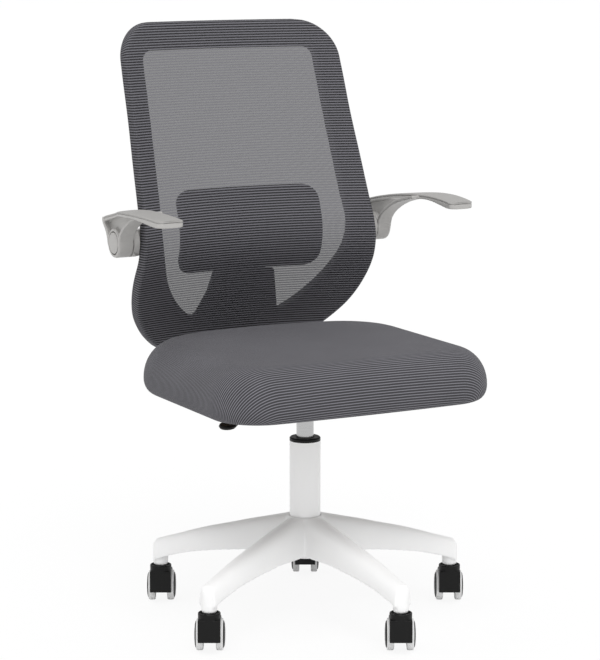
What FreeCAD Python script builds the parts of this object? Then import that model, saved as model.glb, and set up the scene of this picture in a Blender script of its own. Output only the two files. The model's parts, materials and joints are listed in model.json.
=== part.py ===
"""Office chair with a mesh back: five-leg base, gas column, seat, curved back and flip-up arms.

Millimetres and degrees, +Z up. The sitter faces -Y, so +X is the sitter's left. The origin is on the
floor, on the column's axis.
"""
import FreeCAD, Part
import math
import os
import Sketcher
from FreeCAD import Placement, Rotation, Vector

SIZES = {
    # Fits and seats
    "running_gap": 0.05,
    "seat_gap": 0.3,
    # Star base
    "base_turn": 62.0,
    "stem_circle": 252.0,
    "hub_top": 171.0,
    "hub_bottom": 103.0,
    "hub_top_radius": 31.0,
    "hub_foot_radius": 38.0,
    "leg_root": 20.0,
    "leg_end": 262.0,
    "leg_root_top": 166.0,
    "leg_end_top": 101.0,
    "leg_end_bottom": 72.0,
    "leg_root_half": 22.0,
    "leg_end_half": 12.5,
    "leg_wall": 3.5,
    "rib_width": 2.5,
    "socket_radius": 13.0,
    "socket_bottom": 66.0,
    "socket_sink": 7.5,
    # Casters
    "caster_turn": 62.0,
    "wheel_radius": 25.0,
    "wheel_inset": 10.0,
    "tread_width": 11.0,
    "hub_disc": 17.0,
    "hub_rise": 3.0,
    "caster_trail": 18.0,
    "axle_radius": 3.0,
    "hood_half": 17.5,
    "hood_reach": 17.5,
    "hood_lip": 21.0,
    "hood_top": 62.0,
    "collar_height": 6.0,
    "web_bottom": 16.0,
    "web_half": 10.0,
    "fender_gap": 1.4,
    "fender_wall": 3.4,
    "fender_end": 16.0,
    "web_gap": 0.4,
    "stem_radius": 5.5,
    "stem_flange": 9.0,
    "stem_depth": 24.0,
    "stem_grip": 26.0,
    # Column
    "tube_radius": 25.0,
    "tube_wall": 2.3,
    "tube_top": 293.0,
    "tube_taper": 0.8,
    "tube_plate": 4.0,
    "tube_lift": 1.0,
    "rod_radius": 5.0,
    "rod_tail": 5.0,
    "clip_height": 1.4,
    "clip_radius": 8.0,
    "clip_groove": 1.0,
    "bearing_radius": 12.0,
    "bearing_height": 4.0,
    "shoulder_radius": 9.0,
    "shoulder_height": 3.0,
    "buffer_radius": 11.0,
    "buffer_height": 6.0,
    "piston_height": 12.0,
    "piston_room": 4.0,
    "bush_length": 85.0,
    "bush_flange": 6.0,
    "cylinder_radius": 14.0,
    "cylinder_wall": 2.0,
    "cylinder_top": 352.0,
    "cylinder_taper": 0.8,
    "taper_length": 30.0,
    "gland_height": 10.0,
    "cap_height": 2.0,
    "pin_radius": 3.0,
    "pin_length": 25.0,
    "pin_rise": 5.0,
    "pin_travel": 6.0,
    # Mechanism plate and lever
    "board_bottom": 375.0,
    "plate_wall": 2.5,
    "plate_half_width": 95.0,
    "plate_half_length": 95.0,
    "plate_corner": 14.0,
    "tray_half_width": 62.0,
    "tray_half_length": 66.0,
    "tray_depth": 35.0,
    "tray_draft": 18.0,
    "collar_radius": 19.0,
    "collar_bottom": 325.0,
    "collar_drop": 2.0,
    "lever_radius": 4.0,
    "lever_pivot_x": 36.0,
    "lever_pin_radius": 2.0,
    "lug_width": 3.0,
    "lug_half": 6.0,
    "lever_bend_x": 84.0,
    "lever_bend": 24.0,
    "lever_end_x": 150.0,
    "lever_end_y": 53.0,
    "lever_drop": 13.0,
    "paddle_length": 66.0,
    "paddle_half": 14.0,
    "paddle_root_half": 8.4,
    "paddle_grip": 20.0,
    "paddle_height": 9.0,
    "paddle_draft": 24.0,
    # Seat
    "seat_half_width": 238.0,
    "seat_front": 252.0,
    "seat_rear": 238.0,
    "front_corner": 92.0,
    "front_bow": 11.0,
    "rear_corner": 116.0,
    "rear_bow": 6.0,
    "board_thickness": 12.0,
    "board_inset": 20.0,
    "hem_bottom": 377.0,
    "cushion_top": 447.0,
    "bolt_radius": 3.0,
    "bolt_head_radius": 6.5,
    "bolt_head_height": 4.0,
    "plate_bolt_x": 78.0,
    "plate_bolt_y": 78.0,
    # Back
    "plan_radius": 500.0,
    "lumbar_y": 190.5,
    "lumbar_z": 605.0,
    "lumbar_radius": 150.0,
    "upper_lean": 19.0,
    "lower_lean": 28.0,
    "frame_depth": 24.0,
    "slab_spare": 24.0,
    "slab_sweep": 64.0,
    "back_top": 954.0,
    "back_top_half": 197.0,
    "back_corner": 49.0,
    "shoulder_half": 199.0,
    "shoulder_z": 800.0,
    "waist_half": 210.0,
    "waist_z": 650.0,
    "hip_bend": 340.0,
    "hip_half": 196.0,
    "hip_z": 482.0,
    "foot_bend": 120.0,
    "foot_half": 92.0,
    "foot_z": 402.0,
    "opening_top": 905.0,
    "opening_top_half": 161.0,
    "opening_corner": 12.0,
    "opening_shoulder_half": 163.0,
    "opening_waist_half": 172.0,
    "opening_waist_z": 660.0,
    "opening_hip_bend": 200.0,
    "opening_hip_half": 168.0,
    "opening_hip_z": 580.0,
    "post_foot_half": 85.0,
    "post_foot_z": 469.0,
    "post_top_half": 62.0,
    "post_top_z": 542.0,
    "mesh_thickness": 1.2,
    "pad_half": 132.0,
    "pad_bottom": 547.0,
    "pad_top": 683.0,
    "pad_corner": 25.0,
    "pad_front": 1.0,
    "pad_thickness": 19.0,
    "pad_plate": 3.7,
    "pad_plate_inset": 5.0,
    "carrier_thickness": 5.0,
    "carrier_foot_half": 55.0,
    "carrier_top_half": 45.0,
    "carrier_foot_z": 482.0,
    "carrier_top_z": 655.0,
    # Back bracket
    "bracket_half": 35.0,
    "bracket_thickness": 8.0,
    "bracket_front": 112.0,
    "bracket_top": 476.0,
    "bracket_bend": 16.0,
    "bracket_bolt_x": 20.0,
    "bracket_bolt_y": 140.0,
    "bracket_bolt_pitch": 50.0,
    # Arms
    "arm_axis_y": 185.0,
    "arm_axis_z": 607.0,
    "arm_hub_radius": 24.0,
    "arm_inner": 225.0,
    "arm_web": 26.0,
    "arm_plate_inner": 247.0,
    "arm_plate_outer": 304.0,
    "arm_flare_front": 55.0,
    "arm_flare_rear": 200.0,
    "arm_shift_front": 60.0,
    "arm_shift_rear": 150.0,
    "arm_tip": 72.0,
    "arm_tip_top": 668.4,
    "arm_rear": 230.0,
    "arm_rear_top": 644.6,
    "arm_crown": 815.0,
    "arm_pad_depth": 4.5,
    "arm_shell_tip": 5.0,
    "arm_shell_front_y": 20.0,
    "arm_shell_rear_y": 75.0,
    "arm_shell_z": 664.5,
    "arm_shell_rear": 8.0,
    "arm_tip_corner": 22.0,
    "arm_pad_bevel": 2.5,
    "arm_front_y": 80.0,
    "arm_front_bend": 130.0,
    "arm_neck_half": 22.5,
    "arm_neck_drop": 8.0,
    "arm_neck_rise": 10.0,
    "arm_heel": 29.0,
    "arm_heel_rise": 14.0,
    "arm_joint": 4.0,
    "arm_recess_wall": 8.0,
    "arm_recess_outer": 8.0,
    "arm_recess_land": 2.5,
    "arm_recess_rear": 8.0,
    "arm_recess_drop": 8.5,
    "arm_recess_front_y": 112.0,
    "arm_recess_front_z": 659.0,
    "arm_bolt_radius": 4.0,
    "arm_bolt_head": 7.0,
    "arm_bolt_head_height": 5.0,
    "arm_cap_radius": 22.0,
    "arm_cap_thickness": 3.0,
    "arm_cap_recess": 8.0,
    "flange_inner": 214.8,
    "tongue_inner": 184.0,
    "tongue_half": 21.0,
    "tongue_thickness": 10.0,
    "tongue_corner": 8.0,
}

LEG_COUNT = 5
LEG_STEP = 360.0 / LEG_COUNT
LEG_STATIONS = (0.0, 0.16, 0.5, 0.88, 1.0)
HOLLOW_STATIONS = LEG_STATIONS[1:-1]
RIB_STATIONS = (0.38, 0.63)
TOP_DROP = 1.5
BOTTOM_DROP = 2.2
RIDGE_SIDE = 0.86
RIDGE_RISE = 0.5
# Height share and inset of each level of the cushion, from its hem to its crown
CUSHION_LEVELS = ((0.0, 12.0), (0.14, 2.0), (0.42, 0.0), (0.68, 8.0), (0.88, 30.0), (1.0, 105.0))
CORNER_SHARE = 0.42
LUMBAR_BENDS = 4
# How far a cut runs past a face, and how close counts as touching
OVERRUN = 1.0
TOUCH = 0.02

document = FreeCAD.newDocument("office_chair")
sheet = document.addObject("Spreadsheet::Sheet", "Sizes")
for row, (alias, number) in enumerate(SIZES.items(), start=1):
    sheet.set("A%d" % row, alias)
    sheet.set("B%d" % row, repr(number))
    sheet.setAlias("B%d" % row, alias)
document.recompute()


class Size:
    """A length or angle: its number, and its formula over the sheet's cells."""

    def __init__(self, number, text):
        self.number = number
        self.text = text

    def __add__(self, other):
        other = size_of(other)
        return Size(self.number + other.number, "(%s + %s)" % (self.text, other.text))

    def __sub__(self, other):
        other = size_of(other)
        return Size(self.number - other.number, "(%s - %s)" % (self.text, other.text))

    def __mul__(self, other):
        other = size_of(other)
        return Size(self.number * other.number, "(%s * %s)" % (self.text, other.text))

    def __truediv__(self, other):
        other = size_of(other)
        return Size(self.number / other.number, "(%s / %s)" % (self.text, other.text))

    def __neg__(self):
        return Size(-self.number, "(-1 * %s)" % self.text)

    def __float__(self):
        return float(self.number)

    def __radd__(self, other):
        return size_of(other) + self

    def __rsub__(self, other):
        return size_of(other) - self

    def __rmul__(self, other):
        return size_of(other) * self


def size_of(value):
    """Any number as a Size."""
    return value if isinstance(value, Size) else Size(float(value), repr(float(value)))


def cosine(angle):
    """Cosine of an angle in degrees."""
    angle = size_of(angle)
    return Size(math.cos(math.radians(angle.number)), "cos(%s)" % angle.text)


def sine(angle):
    """Sine of an angle in degrees."""
    angle = size_of(angle)
    return Size(math.sin(math.radians(angle.number)), "sin(%s)" % angle.text)


class Sheet:
    """The sheet's cells by their names, as Sizes."""

    def __getattr__(self, alias):
        return Size(float(sheet.get(alias)), "Sizes.%s" % alias)


s = Sheet()
nodes = []


def bind(thing, property_name, size):
    """Sets a property from a formula over the sheet."""
    thing.setExpression(property_name, size_of(size).text)


def place(thing, at, along=Vector(0, 0, 1)):
    """Puts a thing at a point that follows the sheet, with its Z axis along a direction."""
    spot = [size_of(value) for value in at]
    thing.Placement = Placement(Vector(*[float(value) for value in spot]), Rotation(Vector(0, 0, 1), along))
    for axis, value in zip("xyz", spot):
        bind(thing, "Placement.Base.%s" % axis, value)


def new_body(label):
    """An empty body that becomes a node of the chair."""
    body = document.addObject("PartDesign::Body", label)
    body.Label = label
    nodes.append(body)
    return body


def shaped(label, shape):
    """A node whose shape is worked out from the sheet's numbers."""
    feature = document.addObject("Part::Feature", label)
    feature.Label = label
    feature.Shape = shape
    feature.Placement = Placement()
    nodes.append(feature)
    return feature


def arc_centre(start, end, bend):
    """Centre of the arc under a half circle between two points; a positive bend turns left."""
    half = (end - start) * 0.5
    reach = math.sqrt(max(bend * bend - half.Length ** 2, 0.0))
    left = Vector(-half.y, half.x, 0).normalize()
    return start + half + left * (reach if bend > 0 else -reach)


def edges_of(path):
    """Lines and arcs of a closed path of (x, y, bend to the next point)."""
    points = [Vector(float(x), float(y), 0) for x, y, bend in path]
    edges = []
    for i, (x, y, bend) in enumerate(path):
        start, end, bend = points[i], points[(i + 1) % len(path)], float(bend)
        if bend == 0:
            edges.append(Part.LineSegment(start, end))
            continue
        centre = arc_centre(start, end, bend)
        first, last = (start, end) if bend > 0 else (end, start)
        angles = [math.atan2(p.y - centre.y, p.x - centre.x) for p in (first, last)]
        circle = Part.Circle(centre, Vector(0, 0, 1), abs(bend))
        edges.append(Part.ArcOfCircle(circle, angles[0], angles[1]))
    return edges


def wire_of(path):
    """Closed wire of a path, flat on the floor plane."""
    return Part.Wire([edge.toShape() for edge in edges_of(path)])


def sketch(body, plane, paths, start=0.0):
    """Sketch of closed paths on a plane of the body, moved along the plane's normal."""
    drawing = body.newObject("Sketcher::SketchObject", body.Name + "_sketch")
    origin = [feature for feature in body.Origin.OriginFeatures if feature.Role == plane][0]
    drawing.AttachmentSupport = [(origin, "")]
    drawing.MapMode = "FlatFace"
    bind(drawing, "AttachmentOffset.Base.z", start)
    for path in paths:
        draw(drawing, path)
    return drawing


def draw(drawing, path):
    """Adds a closed path whose corners and radii follow the sheet."""
    first = drawing.GeometryCount
    count = len(path)
    drawing.addGeometry(edges_of(path), False)
    for i, (x, y, bend) in enumerate(path):
        here, after = first + i, first + (i + 1) % count
        head = 2 if float(bend) < 0 else 1
        next_head = 2 if float(path[(i + 1) % count][2]) < 0 else 1
        drawing.addConstraint(Sketcher.Constraint("Coincident", here, 3 - head, after, next_head))
        for kind, value in (("DistanceX", x), ("DistanceY", y)):
            index = drawing.addConstraint(Sketcher.Constraint(kind, -1, 1, here, head, float(value)))
            bind(drawing, "Constraints[%d]" % index, value)
        if float(bend) != 0:
            radius = bend if float(bend) > 0 else -size_of(bend)
            index = drawing.addConstraint(Sketcher.Constraint("Radius", here, float(radius)))
            bind(drawing, "Constraints[%d]" % index, radius)


def revolve(body, path, angle=360.0, plane="XZ_Plane"):
    """Turns a profile of (radius, height) about the body's Z axis, evenly to both sides."""
    turned = body.newObject("PartDesign::Revolution", body.Name + "_turned")
    turned.Profile = sketch(body, plane, [path])
    turned.ReferenceAxis = (turned.Profile[0], ["V_Axis"])
    turned.Angle = angle
    turned.Midplane = True
    return turned


def pad(body, plane, paths, start, length):
    """Adds material from a start along the plane's normal."""
    added = body.newObject("PartDesign::Pad", body.Name + "_pad")
    added.Profile = sketch(body, plane, paths, start)
    bind(added, "Length", length)
    return added


def pocket(body, plane, paths, start, length, along=True, draft=0.0):
    """Cuts material from a start along the plane's normal or against it, with drafted walls if asked."""
    document.recompute()
    before = body.Shape.Volume
    cut = body.newObject("PartDesign::Pocket", body.Name + "_pocket")
    cut.Profile = sketch(body, plane, paths, start)
    cut.Reversed = along
    bind(cut, "Length", length)
    bind(cut, "TaperAngle", draft)
    document.recompute()
    check_cut(body, before)


def trim(body, plane, path, reach):
    """Cuts away everything outside a path, right through the body."""
    pierce(body, plane, [box_path(-reach, reach, -reach, reach), path])


def pierce(body, plane, paths):
    """Cuts paths right through the body."""
    document.recompute()
    before = body.Shape.Volume
    cut = body.newObject("PartDesign::Pocket", body.Name + "_through")
    cut.Profile = sketch(body, plane, paths)
    cut.Type = "ThroughAll"
    cut.Midplane = True
    document.recompute()
    check_cut(body, before)


def check_cut(body, before):
    """A cut that points away from the solid takes nothing, which is an error."""
    if body.Shape.Volume > before * (1 - 1e-7):
        raise RuntimeError("nothing was cut from " + body.Label)


def drill(body, radius, depth, at, along=Vector(0, 0, 1)):
    """Cuts a round hole from a point along a direction."""
    hole = body.newObject("PartDesign::SubtractiveCylinder", body.Name + "_hole")
    bind(hole, "Radius", radius)
    bind(hole, "Height", depth)
    place(hole, at, along)
    return hole


def boss(body, radius, depth, at, along=Vector(0, 0, 1)):
    """Adds a round boss from a point along a direction."""
    round_boss = body.newObject("PartDesign::AdditiveCylinder", body.Name + "_boss")
    bind(round_boss, "Radius", radius)
    bind(round_boss, "Height", depth)
    place(round_boss, at, along)
    return round_boss


def fillet(body, radius, choose):
    """Rounds the edges of the body that a test picks."""
    document.recompute()
    base = body.Tip
    names = ["Edge%d" % (i + 1) for i, edge in enumerate(base.Shape.Edges) if choose(edge)]
    rounded = body.newObject("PartDesign::Fillet", body.Name + "_fillet")
    rounded.Base = (base, names)
    bind(rounded, "Radius", radius)
    return rounded


def bevel(body, width, choose):
    """Cuts an even bevel on the edges of the body that a test picks."""
    document.recompute()
    base = body.Tip
    names = ["Edge%d" % (i + 1) for i, edge in enumerate(base.Shape.Edges) if choose(edge)]
    cut = body.newObject("PartDesign::Chamfer", body.Name + "_bevel")
    cut.Base = (base, names)
    bind(cut, "Size", width)
    return cut


def box_path(left, right, low, high):
    """Rectangle."""
    return [(left, low, 0), (right, low, 0), (right, high, 0), (left, high, 0)]


def rounded_path(left, right, low, high, corner):
    """Rectangle with round corners."""
    return [
        (left + corner, low, 0), (right - corner, low, corner), (right, low + corner, 0),
        (right, high - corner, corner), (right - corner, high, 0), (left + corner, high, corner),
        (left, high - corner, 0), (left, low + corner, corner),
    ]


def mirrored_path(right):
    """Closed path from its right side, listed upwards, mirrored across the middle."""
    left = [(-size_of(right[i][0]), right[i][1], right[i - 1][2] if i else 0) for i in range(len(right))]
    return right + left[::-1]


def turned_solid(path):
    """Solid turned about the Z axis from a profile of (radius, height)."""
    face = Part.Face(wire_of(path))
    face.rotate(Vector(), Vector(1, 0, 0), 90)
    return face.revolve(Vector(), Vector(0, 0, 1), 360)


def bolt_shape(radius, length, head_radius, head_height):
    """Bolt along +Z, with its head under the origin."""
    profile = [
        (0, -head_height, 0), (head_radius, -head_height, 0), (head_radius, 0, 0),
        (radius, 0, 0), (radius, length, 0), (0, length, 0),
    ]
    return turned_solid(profile)


def copies(shape, spots):
    """Group of one solid per spot."""
    group = []
    for spot in spots:
        solid = shape.copy()
        solid.translate(Vector(*[float(value) for value in spot]))
        group.append(solid)
    return Part.makeCompound(group)


def leg_angle(index):
    """Direction of a leg about the column."""
    return s.base_turn + LEG_STEP * index


def stem_spot(index):
    """Where a caster's stem stands on the floor plan."""
    angle = leg_angle(index)
    return s.stem_circle * cosine(angle), s.stem_circle * sine(angle), size_of(0)


def leg_level(share):
    """Radius, top, underside and half width of a leg at a share of its length."""
    radius = s.leg_root + (s.leg_end - s.leg_root) * share
    top = s.leg_root_top - (s.leg_root_top - s.leg_end_top) * share ** TOP_DROP
    bottom = s.hub_bottom - (s.hub_bottom - s.leg_end_bottom) * share ** BOTTOM_DROP
    half = s.leg_root_half + (s.leg_end_half - s.leg_root_half) * share
    return float(radius), float(top), float(bottom), float(half)


def leg_section(share, inset=0.0, open_below=0.0):
    """Section across a leg: upright sides under a rounded ridge."""
    radius, top, bottom, half = leg_level(share)
    half -= inset
    top -= inset
    side = RIDGE_SIDE * half
    rise = RIDGE_RISE * half
    bend = (side * side + rise * rise) / (2 * rise)
    path = [
        (-half, bottom - open_below, 0), (half, bottom - open_below, 0),
        (side, top - rise, bend), (-side, top - rise, 0),
    ]
    wire = wire_of(path)
    wire.Placement = Placement(Vector(radius, 0, 0), Rotation(Vector(0, 1, 0), Vector(0, 0, 1), Vector(1, 0, 0)))
    return wire


def leg_shape():
    """One leg along +X: a channel open below, stiffened by ribs, with the stem's socket at its end."""
    outer = Part.makeLoft([leg_section(share) for share in LEG_STATIONS], True, True)
    wall = float(s.leg_wall)
    hollow = Part.makeLoft([leg_section(share, wall, OVERRUN) for share in HOLLOW_STATIONS], True, True)
    rib = float(s.rib_width)
    height = float(s.leg_root_top)
    span = float(s.leg_end)
    ribs = [Part.makeBox(span, rib, height, Vector(0, -rib / 2, 0))]
    for share in RIB_STATIONS:
        radius, top, bottom, half = leg_level(share)
        ribs.append(Part.makeBox(rib, 2 * half, height, Vector(radius - rib / 2, -half, 0)))
    leg = outer.cut(hollow.cut(ribs[0].fuse(ribs[1:])))
    crown = float(s.leg_end_top - s.socket_sink - s.socket_bottom)
    socket = Part.makeCylinder(float(s.socket_radius), crown, Vector(float(s.stem_circle), 0, float(s.socket_bottom)))
    return leg.fuse(socket)


def star_base():
    """Five legs round a hub, with a tapered bore for the column."""
    hub = turned_solid([
        (0, s.hub_bottom, 0), (s.hub_foot_radius, s.hub_bottom, 0),
        (s.hub_top_radius, s.hub_top, 0), (0, s.hub_top, 0),
    ])
    leg = leg_shape()
    star = hub
    for index in range(LEG_COUNT):
        turned = leg.copy()
        turned.rotate(Vector(), Vector(0, 0, 1), float(leg_angle(index)))
        star = star.fuse(turned)
    star = star.removeSplitter()
    gap = s.running_gap
    bore = turned_solid([
        (0, s.hub_bottom - OVERRUN, 0), (s.tube_radius - s.tube_taper + gap, s.hub_bottom - OVERRUN, 0),
        (s.tube_radius + gap, s.hub_top, 0), (s.tube_radius + gap, s.hub_top + OVERRUN, 0),
        (0, s.hub_top + OVERRUN, 0),
    ])
    depth = float(s.stem_grip + s.seat_gap)
    sockets = [
        Part.makeCylinder(float(s.stem_radius + gap), depth, Vector(*[float(value) for value in stem_spot(index)])
                          + Vector(0, 0, float(s.socket_bottom)))
        for index in range(LEG_COUNT)
    ]
    shaped("star_base", star.cut([bore] + sockets))


def caster_stems():
    """Steel stems in the sockets, with a flange between the socket and the hood."""
    low = s.hood_top - s.stem_depth
    flange = s.socket_bottom - s.seat_gap
    top = s.socket_bottom + s.stem_grip
    profile = [
        (0, low, 0), (s.stem_radius, low, 0), (s.stem_radius, s.hood_top + s.seat_gap, 0),
        (s.stem_flange, s.hood_top + s.seat_gap, 0), (s.stem_flange, flange, 0), (s.stem_radius, flange, 0),
        (s.stem_radius, top, 0), (0, top, 0),
    ]
    shaped("caster_stems", copies(turned_solid(profile), [stem_spot(index) for index in range(LEG_COUNT)]))


def tube_bottom():
    """Lower end of the column tube, just inside the hub."""
    return s.hub_bottom + s.tube_lift


def plate_top():
    """Top of the plate that closes the column tube."""
    return tube_bottom() + s.tube_plate


def cylinder_bottom():
    """Lower end of the pressure cylinder, which rests over the buffer."""
    return plate_top() + s.bearing_height + s.shoulder_height + s.buffer_height + s.seat_gap


def stand_tube():
    """Outer tube of the column, tapered where it sits in the hub and closed by a plate below."""
    low = tube_bottom()
    inner = s.tube_radius - s.tube_wall
    body = new_body("stand_tube")
    revolve(body, [
        (s.rod_radius + s.running_gap, low, 0), (s.tube_radius - s.tube_taper, low, 0),
        (s.tube_radius, s.hub_top, 0), (s.tube_radius, s.tube_top, 0), (inner, s.tube_top, 0),
        (inner, plate_top(), 0), (s.rod_radius + s.running_gap, plate_top(), 0),
    ])


def guide_bush():
    """Black bush that guides the cylinder, with a flange on the tube's rim."""
    bore = s.cylinder_radius + s.running_gap
    sleeve = s.tube_radius - s.tube_wall - s.running_gap
    low = s.tube_top - s.bush_length
    top = s.tube_top + s.bush_flange
    edge = s.bush_flange / 4
    body = new_body("guide_bush")
    revolve(body, [
        (bore, low, 0), (sleeve, low, 0), (sleeve, s.tube_top, 0), (s.tube_radius, s.tube_top, 0),
        (s.tube_radius, top - edge, 0), (s.tube_radius - edge, top, 0), (bore + edge, top, 0),
        (bore, top - edge, 0),
    ])


def piston_parts():
    """Rod with its piston, the bearing and buffer that it carries, and the clip under the plate."""
    low = tube_bottom()
    bearing = plate_top()
    shoulder = bearing + s.bearing_height
    cushion = shoulder + s.shoulder_height
    clip = low - s.seat_gap - s.clip_height
    neck = s.rod_radius - s.clip_groove
    piston = s.cylinder_radius - s.cylinder_wall - s.running_gap
    crown = s.cylinder_top - s.taper_length - s.piston_room
    body = new_body("piston_rod")
    revolve(body, [
        (0, low - s.rod_tail, 0), (s.rod_radius, low - s.rod_tail, 0), (s.rod_radius, clip, 0), (neck, clip, 0),
        (neck, clip + s.clip_height, 0), (s.rod_radius, clip + s.clip_height, 0), (s.rod_radius, shoulder, 0),
        (s.shoulder_radius, shoulder, 0), (s.shoulder_radius, cushion, 0), (s.rod_radius, cushion, 0),
        (s.rod_radius, crown - s.piston_height, 0), (piston, crown - s.piston_height, 0), (piston, crown, 0),
        (0, crown, 0),
    ])
    ring(new_body("thrust_bearing"), s.rod_radius + s.running_gap, s.bearing_radius, bearing, s.bearing_height)
    ring(new_body("rod_buffer"), s.rod_radius + s.running_gap, s.buffer_radius, cushion, s.buffer_height)
    clip_gap = s.running_gap
    ring(new_body("rod_clip"), neck + clip_gap, s.clip_radius, clip + clip_gap, s.clip_height - clip_gap * 2)


def ring(body, inner, outer, low, height):
    """Plain ring about the column's axis."""
    revolve(body, box_path(inner, outer, low, low + height))


def pressure_cylinder():
    """Silver cylinder with a gland below and a tapered, closed top round the release pin."""
    low = cylinder_bottom()
    bore = s.cylinder_radius - s.cylinder_wall
    taper = s.cylinder_top - s.taper_length
    rod = s.rod_radius + s.running_gap
    pin = s.pin_radius + s.running_gap
    pin_low = s.cylinder_top + s.pin_rise - s.pin_length - s.pin_travel
    inside = taper - s.cap_height
    body = new_body("pressure_cylinder")
    revolve(body, [
        (rod, low, 0), (s.cylinder_radius, low, 0), (s.cylinder_radius, taper, 0),
        (s.cylinder_radius - s.cylinder_taper, s.cylinder_top, 0), (pin, s.cylinder_top, 0), (pin, pin_low, 0),
        (0, pin_low, 0), (0, inside, 0), (bore, inside, 0), (bore, low + s.gland_height, 0),
        (rod, low + s.gland_height, 0),
    ])
    pin_body = new_body("release_pin")
    top = s.cylinder_top + s.pin_rise
    revolve(pin_body, box_path(0, s.pin_radius, top - s.pin_length, top))


def lever_height():
    """Height of the lever rod's axis over the release pin."""
    return s.cylinder_top + s.pin_rise + s.seat_gap + s.lever_radius


def mechanism_plate():
    """Pressed plate under the seat: a flange, a tray below it and the tapered collar of the column."""
    top = s.board_bottom
    body = new_body("mechanism_plate")
    flange = rounded_path(-s.plate_half_width, s.plate_half_width, -s.plate_half_length, s.plate_half_length,
                          s.plate_corner)
    tray = rounded_path(-s.tray_half_width, s.tray_half_width, -s.tray_half_length, s.tray_half_length,
                        s.plate_corner)
    inner = rounded_path(-s.tray_half_width + s.plate_wall, s.tray_half_width - s.plate_wall,
                         -s.tray_half_length + s.plate_wall, s.tray_half_length - s.plate_wall,
                         s.plate_corner - s.plate_wall)
    pad(body, "XY_Plane", [flange], top - s.plate_wall, s.plate_wall)
    block = pad(body, "XY_Plane", [tray], top, s.tray_depth)
    block.Reversed = True
    bind(block, "TaperAngle", -s.tray_draft)
    pocket(body, "XY_Plane", [inner], top, s.tray_depth - s.plate_wall, False, -s.tray_draft)
    collar_top = s.cylinder_top - s.collar_drop
    boss(body, s.collar_radius, collar_top - s.collar_bottom, (0, 0, s.collar_bottom))
    taper = s.cylinder_top - s.taper_length
    narrow = s.cylinder_radius - s.cylinder_taper
    gap = s.running_gap
    groove = body.newObject("PartDesign::Groove", "mechanism_plate_bore")
    groove.Profile = sketch(body, "XZ_Plane", [[
        (0, s.collar_bottom - OVERRUN, 0), (s.cylinder_radius + gap, s.collar_bottom - OVERRUN, 0),
        (s.cylinder_radius + gap, taper, 0), (narrow + gap, s.cylinder_top, 0), (0, s.cylinder_top, 0),
    ]])
    groove.ReferenceAxis = (groove.Profile[0], ["V_Axis"])
    floor = top - s.tray_depth
    side = s.lever_radius + s.seat_gap
    for start in (side, -side - s.lug_width):
        lug = box_path(-s.lever_pivot_x - s.lug_half, -s.lever_pivot_x + s.lug_half, floor,
                       lever_height() + s.lug_half)
        pad(body, "XZ_Plane", [lug], start, s.lug_width)
    drill(body, s.lever_pin_radius + s.running_gap, 4 * side, (-s.lever_pivot_x, -2 * side, lever_height()),
          Vector(0, 1, 0))
    slot = s.lever_radius * 2
    pocket(body, "YZ_Plane", [box_path(-slot, slot, lever_height() - slot, lever_height() + slot)],
           -s.tray_half_width, s.tray_half_width - s.lever_pivot_x - s.lug_half - OVERRUN)
    for x, y in plate_bolt_spots():
        drill(body, s.bolt_radius + s.running_gap, s.plate_wall * 2, (x, y, top - s.plate_wall * 1.5))
    pin = new_body("lever_pivot_pin")
    boss(pin, s.lever_pin_radius, 2 * (side + s.lug_width), (-s.lever_pivot_x, -side - s.lug_width, lever_height()),
         Vector(0, 1, 0))


def plate_bolt_spots():
    """Floor plan of the four bolts of the mechanism plate."""
    return [(sx * s.plate_bolt_x, sy * s.plate_bolt_y) for sx in (-1, 1) for sy in (-1, 1)]


def bracket_bolt_spots():
    """Floor plan of the four bolts of the back bracket."""
    rows = (s.bracket_bolt_y, s.bracket_bolt_y + s.bracket_bolt_pitch)
    return [(sx * s.bracket_bolt_x, y) for sx in (-1, 1) for y in rows]


def lever():
    """Bent rod over the release pin, with a flat paddle on its outer end."""
    height = float(lever_height())
    inner = Vector(float(s.lever_radius + s.pin_radius), 0, height)
    bend = Vector(-float(s.lever_bend_x), 0, height)
    end = Vector(-float(s.lever_end_x), -float(s.lever_end_y), height - float(s.lever_drop))
    radius = float(s.lever_radius)
    first = (bend - inner).normalize()
    second = (end - bend).normalize()
    turn = first.getAngle(second)
    reach = float(s.lever_bend) * math.tan(turn / 2)
    start, stop = bend - first * reach, bend + second * reach
    bulge = (second - first).normalize()
    middle = bend + bulge * (float(s.lever_bend) / math.cos(turn / 2) - float(s.lever_bend))
    path = Part.Wire([
        Part.LineSegment(inner, start).toShape(), Part.Arc(start, middle, stop).toShape(),
        Part.LineSegment(stop, end).toShape(),
    ])
    section = Part.Wire([Part.Circle(inner, first, radius).toShape()])
    rod = path.makePipeShell([section], True, False)
    hole = Part.makeCylinder(float(s.lever_pin_radius + s.running_gap), 4 * radius,
                             Vector(-float(s.lever_pivot_x), -2 * radius, height), Vector(0, 1, 0))
    shaped("lever_rod", rod.cut(hole))
    body = new_body("lever_paddle")
    grip = s.paddle_grip
    half = s.paddle_half
    outline = [
        (-grip, -s.paddle_root_half, 0), (s.paddle_length - grip - half, -half, half),
        (s.paddle_length - grip, 0, half), (s.paddle_length - grip - half, half, 0), (-grip, s.paddle_root_half, 0),
    ]
    for downward in (False, True):
        slab = pad(body, "XY_Plane", [outline], 0, s.paddle_height / 2)
        slab.Reversed = downward
        bind(slab, "TaperAngle", -s.paddle_draft)
    bore = s.lever_radius + s.running_gap
    drill(body, bore, grip + OVERRUN, (-grip - OVERRUN, 0, 0), Vector(1, 0, 0))
    body.Placement = Placement(end, Rotation(second, Vector(-second.y, second.x, 0), Vector(0, 0, 1), "XZY"))


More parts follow.
